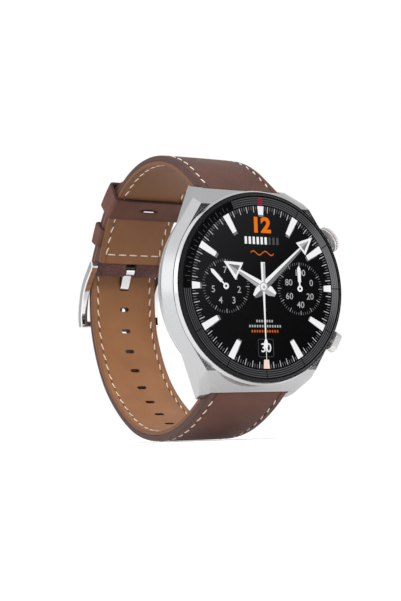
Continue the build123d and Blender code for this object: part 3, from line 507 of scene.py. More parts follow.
def sweep(name, course, low, high, s1, material, replaced, groove_side, corner=0.5, tip=False):
    """Strap layer lofted along a course from its lug end to the run s1."""
    stops = list(np.arange(0.0, s1 - (TIP_LONG if tip else 0), STATION))
    if tip:
        stops += list(s1 - TIP_LONG * (1 - np.linspace(0, 1, 46)) ** 1.6)
    else:
        stops.append(s1)
    # Rounded ends: the first and last stations pull in a little.
    loops, verts, edge, groove = [], [], [], []
    ends = [(0.0, 0.32), (0.12, 0.12), (0.35, 0.0)]
    plan = ends + [(s, 0.0) for s in stops if 0.6 < s < s1 - 0.6]
    plan += [(s1 - a, b) for a, b in ends[::-1]]
    for s, pull in plan:
        q = course.at(s)[0]
        w = half_width(q[0]) - pull
        if tip:
            w = min(w, tip_half(s) - pull)
        lo, hi = low(s), high(s)
        rows = ring_rows(w, lo + pull * 0.6, hi - pull, groove_side, corner)
        loop = []
        for x, z, e, g in rows:
            loop.append(len(verts))
            verts.append(course.place(x, s, z))
            edge.append(max(e, min(1, pull * 3)))
            groove.append(g)
        loops.append(loop)
    n = len(loops[0])
    faces = []
    for a, b in zip(loops, loops[1:]):
        faces += [[a[i], a[(i + 1) % n], b[(i + 1) % n], b[i]] for i in range(n)]
    faces += [loops[0][::-1], loops[-1]]
    mesh = bpy.data.meshes.new(name)
    mesh.from_pydata(verts, [], faces)
    for m in material:
        mesh.materials.append(m)
    obj = bpy.data.objects.new(name, mesh)
    bpy.context.scene.collection.objects.link(obj)
    paint(obj, "edge", edge)
    paint(obj, "groove", groove)
    bm = bmesh.new()
    bm.from_mesh(mesh)
    bmesh.ops.recalc_face_normals(bm, faces=bm.faces)
    bm.to_mesh(mesh)
    bm.free()
    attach(obj, "watch")
    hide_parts(*replaced)
    return obj


def stadium(length, width, n=10):
    r = width / 2
    out = []
    for s in (1, -1):
        for i in range(n + 1):
            a = math.radians(-90 + 180 * i / n)
            out.append((s * (length / 2 - r + r * math.cos(a)), s * r * math.sin(a)))
    return out


HOLE_RUN, PITCH = 86.0, 6.25
hole_runs = [HOLE_RUN - PITCH * i for i in range(8)] + [HOLE_RUN + 2 * PITCH]
bar_at = polar(BUCKLE_ANGLE, BUCKLE_REACH)
tang_line = [(70.84, 12.78), (71.9, 11.9), (73.3, 9.4), (74.75, 7.75), (76.6, 6.3), (78.3, 3.2)]
a = math.radians(1.5)
swung = [
    (bar_at[0] + (d - bar_at[0]) * math.cos(a) - (h - bar_at[1]) * math.sin(a),
     bar_at[1] + (d - bar_at[0]) * math.sin(a) + (h - bar_at[1]) * math.cos(a)) for d, h in tang_line
]
swung = clamped(swung, (0.7, -0.7), (0.4, -0.9), 8)[4:]
normals = np.array([(-(b - a)[1], (b - a)[0]) for a, b in zip(swung[:-1], swung[1:])])
normals = np.vstack([normals, normals[-1:]])
normals /= np.linalg.norm(normals, axis=1)[:, None]
slot_outline = [tuple(p) for p in swung + normals * 0.9] + [tuple(p) for p in (swung - normals * 0.9)[::-1]]
HOLE_LONG, HOLE_WIDE = 2.8, 1.2
cutters = [
    prism(stadium(HOLE_LONG, HOLE_WIDE), lambda u, v, lift, s=s: LONG.place(u, s + v, lift), -1.2, 4.2)
    for s in hole_runs
]
cutters.append(prism(slot_outline, lambda d, h, x: pt(x, d, h), -1.4, 1.4))
cut_verts, cut_faces = join(cutters)

hole_wall = leather("hole_wall", srgb(84, 56, 42), srgb(60, 40, 30), srgb(60, 40, 30), 0.03, 4000, 0.7, 0.1)
for label, low, high, mats, slot, side, replaced in (
    ("strap_bottom_outer", lambda s: LINING, lambda s: thick_at(s, LONG.length), [M["hide"], hole_wall],
     "brown_leather", 1, ["strap_bottom_leather"]),
    ("strap_bottom_inner", lambda s: 0.0, lambda s: LINING, [M["lining"], hole_wall],
     "tan_lining", -1, ["strap_bottom_lining"]),
):
    strap = sweep(label, LONG, low, high, LONG.length, mats, replaced, side,
                  0.45 if side > 0 else 0.22, tip=True)
    carve(strap, cut_verts, cut_faces, 1)
    settle(strap, 38)

# Short strap, which ends at the leather fold round the buckle bar.
top_outer = sweep("strap_top_outer", SHORT, lambda s: LINING, lambda s: thick_at(s, SHORT.length),
                  SHORT.length, [M["hide"], hole_wall], ["strap_top_leather"], 1)
settle(top_outer, 38)
top_inner = sweep("strap_top_inner", SHORT, lambda s: 0.0, lambda s: LINING,
                  SHORT.length - 0.2, [M["lining"], hole_wall], ["strap_top_lining"], -1, 0.22)
settle(top_inner, 38)


def wrap_half(hand):
    """Half of the leather fold round the buckle bar."""
    outline, total = [], 26
    for i in range(total + 1):
        ang = math.radians(BUCKLE_ANGLE + 100 - 290 * i / total)
        outline.append((bar_at[0] + WRAP_R * math.cos(ang), bar_at[1] + WRAP_R * math.sin(ang)))
    lead_out = [polar(a, WRIST_R + THICK_BUCKLE + r) for a, r in ((27.5, 0.02), (25.5, 0.1), (23.2, 0.5))]
    lead_in = [polar(a, WRIST_R + r) for a, r in ((22.6, 0.25), (23.4, 0.9), (25.5, 1.15), (27.5, 1.2))]
    outline = lead_out + outline + lead_in
    x0, x1 = 1.55, half_width(bar_at[0]) - 0.02
    plan = [(x0, 0.22), (x0 + 0.1, 0.06), (x0 + 0.3, 0.0)]
    plan += [(x, 0.0) for x in np.linspace(x0 + 1.2, x1 - 1.2, 8)]
    plan += [(x1 - 0.3, 0.0), (x1 - 0.1, 0.06), (x1, 0.22)]
    centre = np.mean(np.array(outline), axis=0)
    verts, loops, edge = [], [], []
    for x, pull in plan:
        loop = []
        for d, h in outline:
            v = np.array((d, h)) - centre
            v = v * (1 - pull / max(np.linalg.norm(v), 0.1))
            loop.append(len(verts))
            verts.append(pt(hand * x, centre[0] + v[0], centre[1] + v[1]))
            edge.append(min(1, pull * 4))
        loops.append(loop)
    n = len(outline)
    faces = [[a[i], a[(i + 1) % n], b[(i + 1) % n], b[i]] for a, b in zip(loops, loops[1:]) for i in range(n)]
    faces += [loops[0][::-1], loops[-1]]
    return verts, faces, edge


wv, wf, we = wrap_half(1)
wv2, wf2, we2 = wrap_half(-1)
verts, faces = join([(wv, wf), (wv2, wf2)])
wrap = make("strap_top_wrap", verts, faces, M["hide_dark"], "watch", 40, (), "brown_leather")
paint(wrap, "edge", we + we2)
paint(wrap, "groove", [0.0] * len(verts))


# ---------------------------------------------------------------- thread
THREAD_SHAPE = [                                   # (place along the stitch, radius)
    (-1, 0.02), (-0.93, 0.1), (-0.75, 0.16), (-0.35, 0.19), (0, 0.195),
    (0.35, 0.19), (0.75, 0.16), (0.93, 0.1), (1, 0.02),
]


def stitch(course, x, s, lift, length, cross=False, lean=0.0):
    """One waxed thread segment lying in its groove."""
    verts, rings, n = [], [], 8
    for u, r in THREAD_SHAPE:
        drop = -0.14 * u ** 4
        ring = []
        for k in range(n):
            t = 2 * math.pi * k / n
            a, b = r * math.cos(t), r * 0.8 * math.sin(t)
            du = u * length / 2
            if cross:
                px, ps = x + du, s + a
            else:
                px, ps = x + a + lean * u * 0.18, s + du
            ring.append(len(verts))
            verts.append(course.place(px, ps, lift + b + drop))
        rings.append(ring)
    faces = [[p[k], p[(k + 1) % n], q[(k + 1) % n], q[k]] for p, q in zip(rings, rings[1:]) for k in range(n)]
    faces += [rings[0][::-1], rings[-1]]
    return verts, faces


def stitch_run(course, start, stop, lift, pitch=3.3, length=2.05, tip=False, phase=0.0):
    out = []
    s = start + phase
    while s < stop:
        w = half_width(course.at(s)[0][0])
        if tip:
            w = min(w, tip_half(s))
        if w > 6.2:
            for hand in (1, -1):
                out.append(stitch(course, hand * (w - STITCH_IN), s, lift(s), length, lean=hand))
        s += pitch
    return out


seams = stitch_run(LONG, 4.0, LONG.length - 5.5, lambda s: thick_at(s, LONG.length) - 0.08, tip=True)
seams += [stitch(LONG, x, LONG.length - 2.6, THICK_BUCKLE - 0.02, 2.2, True) for x in (-1.6, 1.6)]
make("thread_bottom_outer", *join(seams), M["thread"], "watch", 60, (), "tan_lining")
seams = stitch_run(LONG, 4.0, LONG.length - 5.5, lambda s: 0.06, tip=True, phase=1.75)
make("thread_bottom_inner", *join(seams), M["thread"], "watch", 60, (), "tan_lining")
seams = stitch_run(SHORT, 4.0, SHORT.length - 5.5, lambda s: thick_at(s, SHORT.length) - 0.08)
make("thread_top_outer", *join(seams), M["thread"], "watch", 60, (), "tan_lining")
end_run = SHORT.length - WRIST_R * math.radians(26.8 - BUCKLE_ANGLE - 3.2)
seams = stitch_run(SHORT, 4.0, end_run - 0.8, lambda s: 0.06, phase=1.0)
seams += [stitch(SHORT, x, end_run, 0.04, 2.35, True) for x in (-6.7, -3.35, 0, 3.35, 6.7)]
make("thread_top_inner", *join(seams), M["thread"], "watch", 60, (), "tan_lining")


# ---------------------------------------------------------------- keepers
def keeper(name, centre, half_arc, inner_low, inner_high, half_x, wall, material, body, replaced, dimple=False):
    """Leather loop round the strap: a rounded band swept round a rounded rectangle."""
    mid_x, low, high = half_x + wall / 2, inner_low - wall / 2, inner_high + wall / 2
    rc = 0.75
    path = []                                       # (x, reach, nx, nr)

    def run_line(x0, r0, x1, r1, nx, nr, n):
        for i in range(n):
            t = i / n
            path.append((x0 + (x1 - x0) * t, r0 + (r1 - r0) * t, nx, nr))

    def run_corner(cx, cr, a0):
        for i in range(6):
            a = math.radians(a0 - 90 * i / 6)
            path.append((cx + rc * math.cos(a), cr + rc * math.sin(a), math.cos(a), math.sin(a)))

    run_line(-mid_x + rc, high, mid_x - rc, high, 0, 1, 40)
    run_corner(mid_x - rc, high - rc, 90)
    run_line(mid_x, high - rc, mid_x, low + rc, 1, 0, 8)
    run_corner(mid_x - rc, low + rc, 0)
    run_line(mid_x - rc, low, -mid_x + rc, low, 0, -1, 64)
    run_corner(-mid_x + rc, low + rc, -90)
    run_line(-mid_x, low + rc, -mid_x, high - rc, -1, 0, 8)
    run_corner(-mid_x + rc, high - rc, 180)
    ha, ht, r = half_arc, wall / 2, 0.3
    sect = []                                       # (u, v)
    turns = ((1, 1, 90), (1, -1, 0), (-1, -1, -90), (-1, 1, 180))
    for cu, cv, a0 in [((ha - r) * su, (ht - r) * sv, a) for su, sv, a in turns]:
        for i in range(5):
            a = math.radians(a0 - 90 * i / 4)
            sect.append((cu + r * math.cos(a), cv + r * math.sin(a)))
        if a0 in (0, 180):
            s = 1 if a0 == 0 else -1
            for t in np.linspace(0.92, -0.92, 22):
                sect.append((s * t * abs(t) ** 0.6 * (ha - r), -s * ht))
    verts, edge, groove, rings = [], [], [], []
    for x, reach, nx, nr in path:
        ring = []
        for u, v in sect:
            pocket = 0.0
            if dimple and nr < -0.9 and v > ht - 0.02:
                lens = 0.72 * math.sqrt(max(1 - (x / 2.7) ** 2, 0.0))
                pocket = 0.34 * math.exp(-((u / lens) ** 4)) if lens > 0.05 else 0.0
            sag = 0.06 * math.cos(x / mid_x * 1.4) * (1 if nr > 0.9 else 0)
            v2 = v - pocket - sag * 0.5
            rr = reach + nr * v2
            xx = x + nx * v2
            d, h = polar(centre + math.degrees(u / (WRIST_R + 3)), rr)
            ring.append(len(verts))
            verts.append(pt(xx, d, h))
            e = max(0.0, (abs(u) - (ha - 0.34)) / 0.3)
            edge.append(min(1.0, e))
            line = math.exp(-(((abs(u) - (ha - 0.85)) / 0.12) ** 2)) * 0.55
            # Painted shade: the dimple's depth also darkens the leather, as shade in the pocket round the
            # staple.
            groove.append(min(1.0, line + pocket * 3.4))
        rings.append(ring)
    n, k = len(sect), len(rings)
    faces = [[rings[a][i], rings[a][(i + 1) % n], rings[(a + 1) % k][(i + 1) % n], rings[(a + 1) % k][i]]
             for a in range(k) for i in range(n)]
    obj = make(name, verts, faces, material, body, 50, replaced, "brown_leather")
    paint(obj, "edge", edge)
    paint(obj, "groove", groove)
    return obj


outer_in = TAIL_R + THICK_BUCKLE + 0.2
loose_arc, fixed_arc = (math.radians(a) * (WRIST_R + 3) - 0.02 for a in (6.0, 4.5))
keeper("keeper_loose", 52.5, loose_arc, WRIST_R - 0.1, outer_in, 10.25, 0.95,
       M["hide"], "loose_keeper", ["free_keeper"], True)
keeper("keeper_fixed", 33.8, fixed_arc, WRIST_R + LINING + 0.55, outer_in + 0.1, 10.1, 0.88,
       M["hide"], "watch", ["fixed_keeper"])


# ---------------------------------------------------------------- dial graphics
DIAL_Y = -12.94                                    # printed dial, just under the front of the glass
DIAL = 0.99                                        # the drawn radii shrink a little to fit the lit area
LIFT = 0.33                                        # millimetres of height for one unit of layer lift


def flat(name, polys, material, lift, thick=0.004):
    """Thin plates of lit dial, from outlines in (x, z) millimetres; each outline is simple."""
    parts = []
    for outline in polys:
        area = sum(a[0] * b[1] - b[0] * a[1] for a, b in zip(outline, outline[1:] + outline[:1]))
        ring = outline if area > 0 else outline[::-1]
        back = DIAL_Y - lift * LIFT
        parts.append(prism(ring, lambda u, v, y: Vector((u * DIAL, y, v * DIAL)) * MM, back, back - thick))
    verts, faces = join(parts)
    return make(name, verts, faces, material, "watch", 20, (), "display_black")


def ring_arc(r0, r1, a0, a1, n=None):
    """Annular sector, clock angles in degrees from 12 going clockwise."""
    n = n or max(2, int(abs(a1 - a0) / 3))
    pts = []
    for r, seq in ((r1, range(n + 1)), (r0, range(n, -1, -1))):
        for i in seq:
            t = math.radians(a0 + (a1 - a0) * i / n)
            pts.append((r * math.sin(t), r * math.cos(t)))
    return pts


def bar(cx, cz, angle, r0, r1, w0, w1):
    """Tapered bar along a clock angle from a centre."""
    t = math.radians(angle)
    d, s = (math.sin(t), math.cos(t)), (math.cos(t), -math.sin(t))
    pts = []
    for r, w in ((r0, w0 / 2), (r1, w1 / 2), (r1, -w1 / 2), (r0, -w0 / 2)):
        pts.append((cx + d[0] * r + s[0] * w, cz + d[1] * r + s[1] * w))
    return pts


def circle(cx, cz, r, n=40):
    return [(cx + r * math.cos(2 * math.pi * i / n), cz + r * math.sin(2 * math.pi * i / n)) for i in range(n)]


white = glow("lit_white", (0.93, 0.93, 0.93, 1))
soft = glow("lit_soft_grey", srgb(178, 178, 180))
grey = glow("lit_grey", srgb(120, 120, 122))
dim = glow("lit_dim", srgb(78, 78, 80))
tick = glow("lit_tick", srgb(205, 206, 208))
orange = glow("lit_orange", srgb(240, 118, 22))
amber = glow("lit_amber", srgb(214, 104, 30), 0.9)
red_lit = glow("lit_red", srgb(176, 22, 42))
blush = glow("lit_blush", srgb(246, 222, 208))
ink = glow("lit_black", srgb(12, 12, 13))

RING_IN, RING_OUT = 0.01936, 0.02132               # metres, the lined ring round the dial

# The display: black, lighter towards the upper left, with a fine radial ring round its rim.
_d = Nodes("display")
_sep = _d.add("ShaderNodeSeparateXYZ", {0: _d.coords()})
_x, _z = _sep.outputs[0], _sep.outputs[2]
_r = _d.math("SQRT", _d.math("ADD", _d.math("MULTIPLY", _x, _x), _d.math("MULTIPLY", _z, _z)))
_shine = _d.math("MULTIPLY", _d.math("SUBTRACT", _z, _d.math("MULTIPLY", _x, 0.9)), 20.0)
_face = _d.ramp(_d.math("ADD", _shine, 0.5),
                [(0.0, srgb(9, 9, 10)), (0.55, srgb(17, 17, 18)), (1.0, srgb(36, 36, 37))])
_out = _d.add("ShaderNodeCombineXYZ", {0: _r}).outputs[0]
_lines = _d.add("ShaderNodeTexWave", {"Vector": _out, "Scale": 640.0}, wave_type="BANDS", bands_direction="X")
_ang = _d.math("ARCTAN2", _x, _z)
_lobes = _d.math("ADD", _d.math("MULTIPLY", _d.math("COSINE", _d.math("SUBTRACT", _ang, 1.35)), 0.5), 0.5)
_crest = _d.ramp(_lobes, [(p, srgb(v, v, v + 2)) for p, v in ((0.0, 90), (0.9, 104), (1.0, 134))])
_trough = _d.ramp(_lobes, [(0.0, srgb(12, 12, 13)), (0.9, srgb(22, 22, 23)), (0.95, srgb(78, 78, 80)),
                           (1.0, srgb(90, 90, 92))])
_band = _d.mix(_d.math("POWER", _lines.outputs["Fac"], 0.5), _crest, _trough)
_in_ring = _d.math("MULTIPLY", _d.math("GREATER_THAN", _r, RING_IN), _d.math("LESS_THAN", _r, RING_OUT))
_pic = _d.mix(_in_ring, _face, _band)
_outer = _d.math("GREATER_THAN", _r, RING_OUT)
_pic = _d.mix(_outer, _pic, srgb(10, 10, 11))
_em = _d.add("ShaderNodeEmission", {"Color": _pic, "Strength": 1.0})
_pr = _d.add("ShaderNodeBsdfPrincipled",
             {"Base Color": (0.001, 0.001, 0.001, 1), "Roughness": 0.6, "Specular IOR Level": 0.0})
_ad = _d.add("ShaderNodeAddShader", {0: _em.outputs[0], 1: _pr.outputs[0]})
_d.tree.links.new(_ad.outputs[0], _d.out.inputs[0])
M["display"] = _d.mat
dress("display_panel", "display")


def turned(name, profile, material, slot, smooth=35, count=160):
    """Solid of revolution about the dial axis from closed (radius, y) points."""
    verts, faces, n = [], [], len(profile)
    for k in range(count):
        t = 2 * math.pi * k / count
        for r, y in profile:
            verts.append((r * math.cos(t) * MM, y * MM, r * math.sin(t) * MM))
    for k in range(count):
        a, b = k * n, (k + 1) % count * n
        faces += [[a + i, a + (i + 1) % n, b + (i + 1) % n, b + i] for i in range(n)]
    return make(name, verts, faces, material, "watch", smooth, (), slot)


base = [(r, -12.92) for r in (0.02, 7, 14, 19.5, 21.54)] + [(21.5, -12.9), (14, -12.9), (0.02, -12.9)]
turned("dial_base", base, _d.mat, "display_black", 20)
mask = [(21.56, -12.93), (21.7, -12.92), (22.22, -12.42), (22.24, -12.34), (22.0, -12.3), (21.5, -12.88)]
turned("dial_mask", mask, M["rim_black"], "display_black", 30)

# Hour batons, ticks and rim dividers.
batons, shades = [], []
for h in range(12):
    a = 30 * h
    if h in (0, 3, 9):
        batons.append(bar(0, 0, a, 17.2, 19.3, 1.35, 1.75))
        shades.append(bar(0.1, -0.12, a, 16.85, 17.3, 1.2, 1.4))
    elif h != 6:
        batons.append(bar(0, 0, a, 14.7, 19.3, 1.2, 1.75))
        shades.append(bar(0.12, -0.16, a, 14.25, 17.5, 1.15, 1.6))
flat("dial_baton_shade", shades, grey, 0.03)
flat("dial_batons", batons, white, 0.06)
flat("dial_baton_six", [bar(0, 0, 180, 17.2, 19.3, 1.35, 1.75)], blush, 0.06)
ticks, minor = [], []
for i in range(180):
    a = i * 2.0
    if i % 15 in (0, 1, 14):
        continue
    if i % 3 == 0:
        ticks.append(bar(0, 0, a, 17.8, 19.3, 0.15, 0.17))
    else:
        minor.append(bar(0, 0, a, 18.4, 19.3, 0.13, 0.14))
flat("dial_ticks", ticks, tick, 0.03)
flat("dial_minor_ticks", minor, grey, 0.03)
flat("dial_rim_lines", [ring_arc(19.38, 19.5, 0, 180), ring_arc(19.38, 19.5, 180, 360)], ink, 0.02)
flat("dial_rim_dividers", [bar(0, 0, 30 * h, 19.6, 21.5, 0.2, 0.22) for h in range(1, 12)], ink, 0.03)
flat("dial_rim_dark", [ring_arc(19.56, 21.48, 268, 338, 40)], ink, 0.015)
marks = [bar(0, 0, a, 19.85, 21.2 if round(a) % 6 == 0 else 20.5, 0.13, 0.14) for a in np.arange(273, 336, 3.0)]
flat("dial_rim_marks", marks, dim, 0.03)
flat("dial_rim_red", [bar(0, 0, 0, 19.55, 21.3, 0.75, 0.85)], red_lit, 0.04)

# Sub-dials.
sub_ticks, sub_strong = [], []
for cx, cz in ((-10.25, 0.0), (10.3, -0.2)):
    for i in range(60):
        group, inner, wide = (sub_strong, 5.35, 0.14) if i % 5 == 0 else (sub_ticks, 5.75, 0.11)
        group.append(bar(cx, cz, i * 6, inner, 6.35, wide, wide))
flat("dial_sub_ticks", sub_ticks, grey, 0.03)
flat("dial_sub_marks", sub_strong, soft, 0.035)


def numeral(name, text, x, z, size, material, lift, weight=0.0, wide=1.0):
    """Digits as a thin lit plate."""
    curve = bpy.data.curves.new(name, "FONT")
    curve.body = text
    curve.align_x = curve.align_y = "CENTER"
    curve.size = size * MM
    curve.offset = weight * MM
    curve.extrude = 0.003 * MM
    curve.resolution_u = 6
    tmp = bpy.data.objects.new(name + "_tmp", curve)
    bpy.context.scene.collection.objects.link(tmp)
    at = Vector((x * DIAL, DIAL_Y - lift * LIFT, z * DIAL)) * MM
    tmp.matrix_world = (Matrix.Translation(at) @ Matrix.Rotation(math.pi / 2, 4, "X")
                        @ Matrix.Diagonal((wide, 1, 1, 1)))
    bpy.context.view_layer.update()
    dg = bpy.context.evaluated_depsgraph_get()
    mesh = bpy.data.meshes.new_from_object(tmp.evaluated_get(dg), depsgraph=dg)
    mesh.transform(tmp.matrix_world)
    mesh.materials.clear()
    mesh.materials.append(material)
    bpy.data.objects.remove(tmp)
    obj = bpy.data.objects.new(name, mesh)
    bpy.context.scene.collection.objects.link(obj)
    settle(obj, 30)
    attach(obj, "watch")
    return obj


scales = {
    "left": (2.2, (("5", -13.7, -0.85), ("4", -11.85, -3.4), ("3", -8.3, -3.4), ("2", -6.75, -0.85),
                   ("7", -10.4, 3.7), ("1", -7.3, 2.2))),
    "right": (2.1, (("100", 10.43, 3.57), ("0", 13.6, 1.2), ("20", 13.1, -2.1), ("40", 10.3, -4.15),
                    ("60", 7.2, -2.1), ("80", 7.15, 1.2))),
}
for label, (size, digits) in scales.items():
    for txt, x, z in digits:
        numeral(f"dial_{label}_{txt}", txt, x, z, size, soft, 0.04, 0.01)
numeral("dial_twelve", "12", -0.1, 14.6, 4.9, orange, 0.05, 0.2, 1.12)
numeral("dial_date", "30", 0.03, -14.5, 2.9, white, 0.05, 0.03)


def frame_line(cx, cz, w, h, r, t):
    """Rounded square outline as four sides and four corners."""
    out = []
    for sx, sz in ((1, 1), (-1, 1), (-1, -1), (1, -1)):
        ox, oz = cx + sx * (w / 2 - r), cz + sz * (h / 2 - r)
        a0 = {(1, 1): 0, (-1, 1): 90, (-1, -1): 180, (1, -1): 270}[(sx, sz)]
        arcp = [(r, a0 + 90 * i / 6) for i in range(7)] + [(r - t, a0 + 90 - 90 * i / 6) for i in range(7)]
        out.append([(ox + q * math.cos(math.radians(a)), oz + q * math.sin(math.radians(a))) for q, a in arcp])
    for sign in (1, -1):
        inner, outer = cz + sign * (h / 2 - t), cz + sign * h / 2
        a, b = cx - w / 2 + r, cx + w / 2 - r
        out.append([(a, inner), (b, inner), (b, outer), (a, outer)])
    for sign in (-1, 1):
        inner, outer = cx + sign * (w / 2 - t), cx + sign * w / 2
        a, b = cz - h / 2 + r, cz + h / 2 - r
        out.append([(inner, a), (outer, a), (outer, b), (inner, b)])
    return out


flat("dial_date_frame", frame_line(0.0, -14.45, 4.3, 4.3, 0.5, 0.12), dim, 0.03)

# Generic marks where the dial carried words: a bar gauge, a small wave and three dotted rows.
gauge = []
for i in range(9):
    x = -4.4 + i * 1.1
    gauge.append([(x - 0.32, 10.15), (x + 0.32, 10.15), (x + 0.32, 11.9), (x - 0.32, 11.9)])
flat("dial_gauge", gauge[:6], white, 0.04)
flat("dial_gauge_rest", gauge[6:], dim, 0.04)
wave_top = [(x, 8.05 + 0.45 * math.sin(x * 1.9) + 0.16) for x in np.linspace(-3.2, 3.2, 60)]
wave_low = [(x, z - 0.32) for x, z in wave_top[::-1]]
flat("dial_wave", [wave_top + wave_low], amber, 0.04)
rows = {"a": (-8.1, 2.2, soft), "b": (-9.3, 4.2, soft), "c": (-10.5, 3.6, amber)}
for key, (z, half, m) in rows.items():
    places = np.arange(-half, half + 0.01, 0.7)
    dots = [[(x + u * 0.2, z + v * 0.28) for u, v in ((-1, -1), (1, -1), (1, 1), (-1, 1))] for x in places]
    flat(f"dial_row_{key}", dots, m, 0.03)


def hand(name, tip, barb_a, barb_b, tail_r, shaft0, shaft1, lift):
    """Arrow hand with a light and a shaded flank, a raised head and a short tail."""
    tip = np.array(tip)
    reach = np.linalg.norm(tip)
    d = tip / reach
    s = np.array((d[1], -d[0]))                    # to the right of the direction
    head = max(np.dot(np.array(barb_a), d), np.dot(np.array(barb_b), d))
    wide = (abs(np.dot(np.array(barb_a), s)) + abs(np.dot(np.array(barb_b), s))) / 2

    def p(r, w):
        return tuple(d * r + s * w)

    waist = tail_r * 0.55
    left = [[p(-tail_r, 0), p(head, 0), p(head, -shaft1), p(0.6, -shaft0), p(-waist, -shaft0 * 1.15),
             p(-tail_r, -shaft0 * 0.5)]]
    right = [[p(-tail_r, 0), p(-tail_r, shaft0 * 0.5), p(-waist, shaft0 * 1.15), p(0.6, shaft0),
              p(head, shaft1), p(head, 0)]]
    flat(name + "_light", left, white if d[0] > 0 else soft, lift)
    flat(name + "_shade", right, grey if d[0] > 0 else white, lift)
    ridge = [[p(0.8, 0.06), p(0.8, -0.06), p(head, -0.04), p(head, 0.04)]]
    flat(name + "_ridge", ridge, dim, lift + 0.025)
    flat(name + "_head", [[p(reach, 0), p(head - 0.15, wide), p(head - 0.15, -wide)]], white, lift + 0.03)
    inset, low = wide * 0.55, head + 0.3
    flat(name + "_head_left", [[p(reach - 1.3, 0), p(low, 0), p(low, -inset)]], soft, lift + 0.055)
    flat(name + "_head_right", [[p(reach - 1.3, 0), p(low, inset), p(low, 0)]], grey, lift + 0.055)


hand("dial_hour_hand", (-10.69, 5.85), (-5.5, 5.51), (-7.86, 1.4), 3.7, 1.05, 0.5, 0.08)
hand("dial_minute_hand", (14.34, 12.39), (9.55, 10.77), (12.34, 8.05), 3.5, 1.05, 0.42, 0.17)
flat("dial_seconds_hand", [bar(0, 0, 0, 0, 5.9, 1.0, 1.15), bar(0, 0, 180, 0, 17.5, 0.62, 0.12)], white, 0.27)
flat("dial_seconds_shade", [[(0.02, 0.8), (0.42, 0.8), (0.48, 5.7), (0.02, 5.7)]], soft, 0.30)
drop = [
    (0.55 * math.sin(t) * (1 - 0.25 * math.cos(t)), -13.4 + 1.15 * math.cos(t))
    for t in np.linspace(0, 2 * math.pi, 30, endpoint=False)
]
flat("dial_seconds_drop", [drop], white, 0.30)
flat("dial_hub", [circle(0, 0, 1.15)], soft, 0.33)
flat("dial_hub_top", [circle(-0.06, 0.06, 0.85)], white, 0.36)
flat("dial_hub_dot", [circle(0.05, -0.05, 0.38)], soft, 0.39)
for label, cx, cz, tx, tz in (("left", -10.25, 0.0, -14.2, 3.95), ("right", 10.3, -0.2, 10.15, 5.3)):
    v = np.array((tx - cx, tz - cz))
    ang = math.degrees(math.atan2(v[0], v[1]))
    reach = np.linalg.norm(v)
    lengths = ((0.7, 1.6, 0.35, 0.45), (1.6, reach - 0.6, 0.85, 0.95), (reach - 0.6, reach, 0.9, 0.15))
    flat(f"dial_{label}_hand", [bar(cx, cz, ang, *part) for part in lengths], white, 0.06)
    flat(f"dial_{label}_pivot", [circle(cx, cz, 0.75)], white, 0.06)
    flat(f"dial_{label}_pivot_hole", [circle(cx, cz, 0.3)], ink, 0.09)

# ---------------------------------------------------------------- stage, light and camera
low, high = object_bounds()
floor_z = low.z - 0.0001
fm = Nodes("pale_floor")
floor_mat = fm.surface(Base_Color=fm.mix(fm.noise(6, 2), (0.93, 0.93, 0.93), (0.91, 0.91, 0.91)),
                       Roughness=0.8, Emission_Color=(1, 1, 1, 1), Emission_Strength=0.3)
mesh = bpy.data.meshes.new("floor")
mesh.from_pydata([(-4, -4, floor_z), (4, -4, floor_z), (4, 4, floor_z), (-4, 4, floor_z)], [], [(0, 1, 2, 3)])
mesh.materials.append(floor_mat)
floor = bpy.data.objects.new("floor", mesh)
bpy.context.scene.collection.objects.link(floor)

# Studio surround: plain white behind the object, softer and graded where it lights and mirrors.
world = bpy.data.worlds.new("studio")
bpy.context.scene.world = world
world.use_nodes = True
tree = world.node_tree
tree.nodes.clear()


def wnode(kind, inputs=None, **props):
    n = tree.nodes.new(kind)
    for k, v in props.items():
        setattr(n, k, v)
    for k, v in (inputs or {}).items():
        if isinstance(v, bpy.types.NodeSocket):
            tree.links.new(v, n.inputs[k])
        else:
            n.inputs[k].default_value = v
    return n


direction = wnode("ShaderNodeTexCoord").outputs["Generated"]


def patch(aim, start, stop):
    """1 near a direction, falling to 0 away from it."""
    dot = wnode("ShaderNodeVectorMath", {0: direction, 1: Vector(aim).normalized()}, operation="DOT_PRODUCT")
    far, near = (math.cos(math.radians(a)) for a in (stop, start))
    r = wnode("ShaderNodeMapRange", {"Value": dot.outputs["Value"], "From Min": far, "From Max": near},
              interpolation_type="SMOOTHSTEP")
    return r.outputs[0]


def layer(base, aim, start, stop, value):
    m = wnode("ShaderNodeMix", {0: patch(aim, start, stop), 2: base, 3: value}, data_type="FLOAT")
    return m.outputs[0]


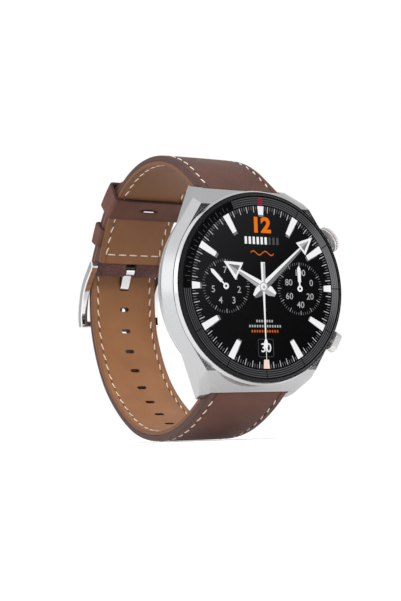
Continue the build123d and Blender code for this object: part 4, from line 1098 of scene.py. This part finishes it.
level = wnode("ShaderNodeValue")
level.outputs[0].default_value = 0.55
level = level.outputs[0]
for aim, start, stop, value in (
    ((0, 0, 1), 20, 80, 0.85),                      # soft ceiling
    ((-1, 0.2, 0.2), 14, 45, 1.9),                  # bright panel on the left
    ((-0.55, 0.3, 0.8), 10, 30, 1.25),
    ((-0.75, -1, 0.05), 8, 22, 0.25),
    ((0.489, -0.867, 0.101), 24, 50, 0.015),        # dark card that the dial glass mirrors
    ((0.49, 0.867, -0.1), 20, 60, 0.9),
    ((1, 0.1, 0.1), 12, 30, 0.35),
):
    level = layer(level, aim, start, stop, value)
studio = wnode("ShaderNodeBackground", {"Color": (1, 1, 1, 1), "Strength": level})
plain = wnode("ShaderNodeBackground", {"Color": (1, 1, 1, 1), "Strength": 1.0})
seen = wnode("ShaderNodeLightPath").outputs["Is Camera Ray"]
pick = wnode("ShaderNodeMixShader", {0: seen, 1: studio.outputs[0], 2: plain.outputs[0]})
tree.links.new(pick.outputs[0], wnode("ShaderNodeOutputWorld").inputs[0])


def area(name, where, target, size, power):
    light = bpy.data.lights.new(name, "AREA")
    light.shape, light.size, light.size_y, light.energy = "RECTANGLE", size[0], size[1], power
    obj = bpy.data.objects.new(name, light)
    bpy.context.scene.collection.objects.link(obj)
    obj.location = where
    obj.rotation_mode = "QUATERNION"
    obj.rotation_quaternion = (Vector(target) - Vector(where)).to_track_quat("-Z", "Y")
    obj.visible_glossy = False
    return obj


area("key", (-0.45, -0.5, 0.55), (0, 0.02, 0), (0.4, 0.4), 4.0)
area("fill", (0.5, -0.5, 0.2), (0, 0.02, 0), (0.3, 0.5), 1.0)

SENSOR, PICTURE_HIGH, FOCAL = 36, 601, 1304.27     # millimetres, pixels, focal length in pixels
camera = bpy.data.cameras.new("camera")
camera.sensor_width = SENSOR
camera.lens = SENSOR * FOCAL / PICTURE_HIGH
camera.clip_start, camera.clip_end = 0.01, 20
cam = bpy.data.objects.new("camera", camera)
bpy.context.scene.collection.objects.link(cam)
right = Vector((0.872234, -0.487816, -0.035269))
up = Vector((-0.018831, -0.105554, 0.994235))
backward = right.cross(up)
spin = Matrix((right, up, backward)).transposed().to_4x4()
cam.matrix_world = Matrix.Translation((-0.16179, -0.26959, -0.0335)) @ spin
bpy.context.scene.camera = cam
bpy.context.scene.view_settings.view_transform = "Standard"
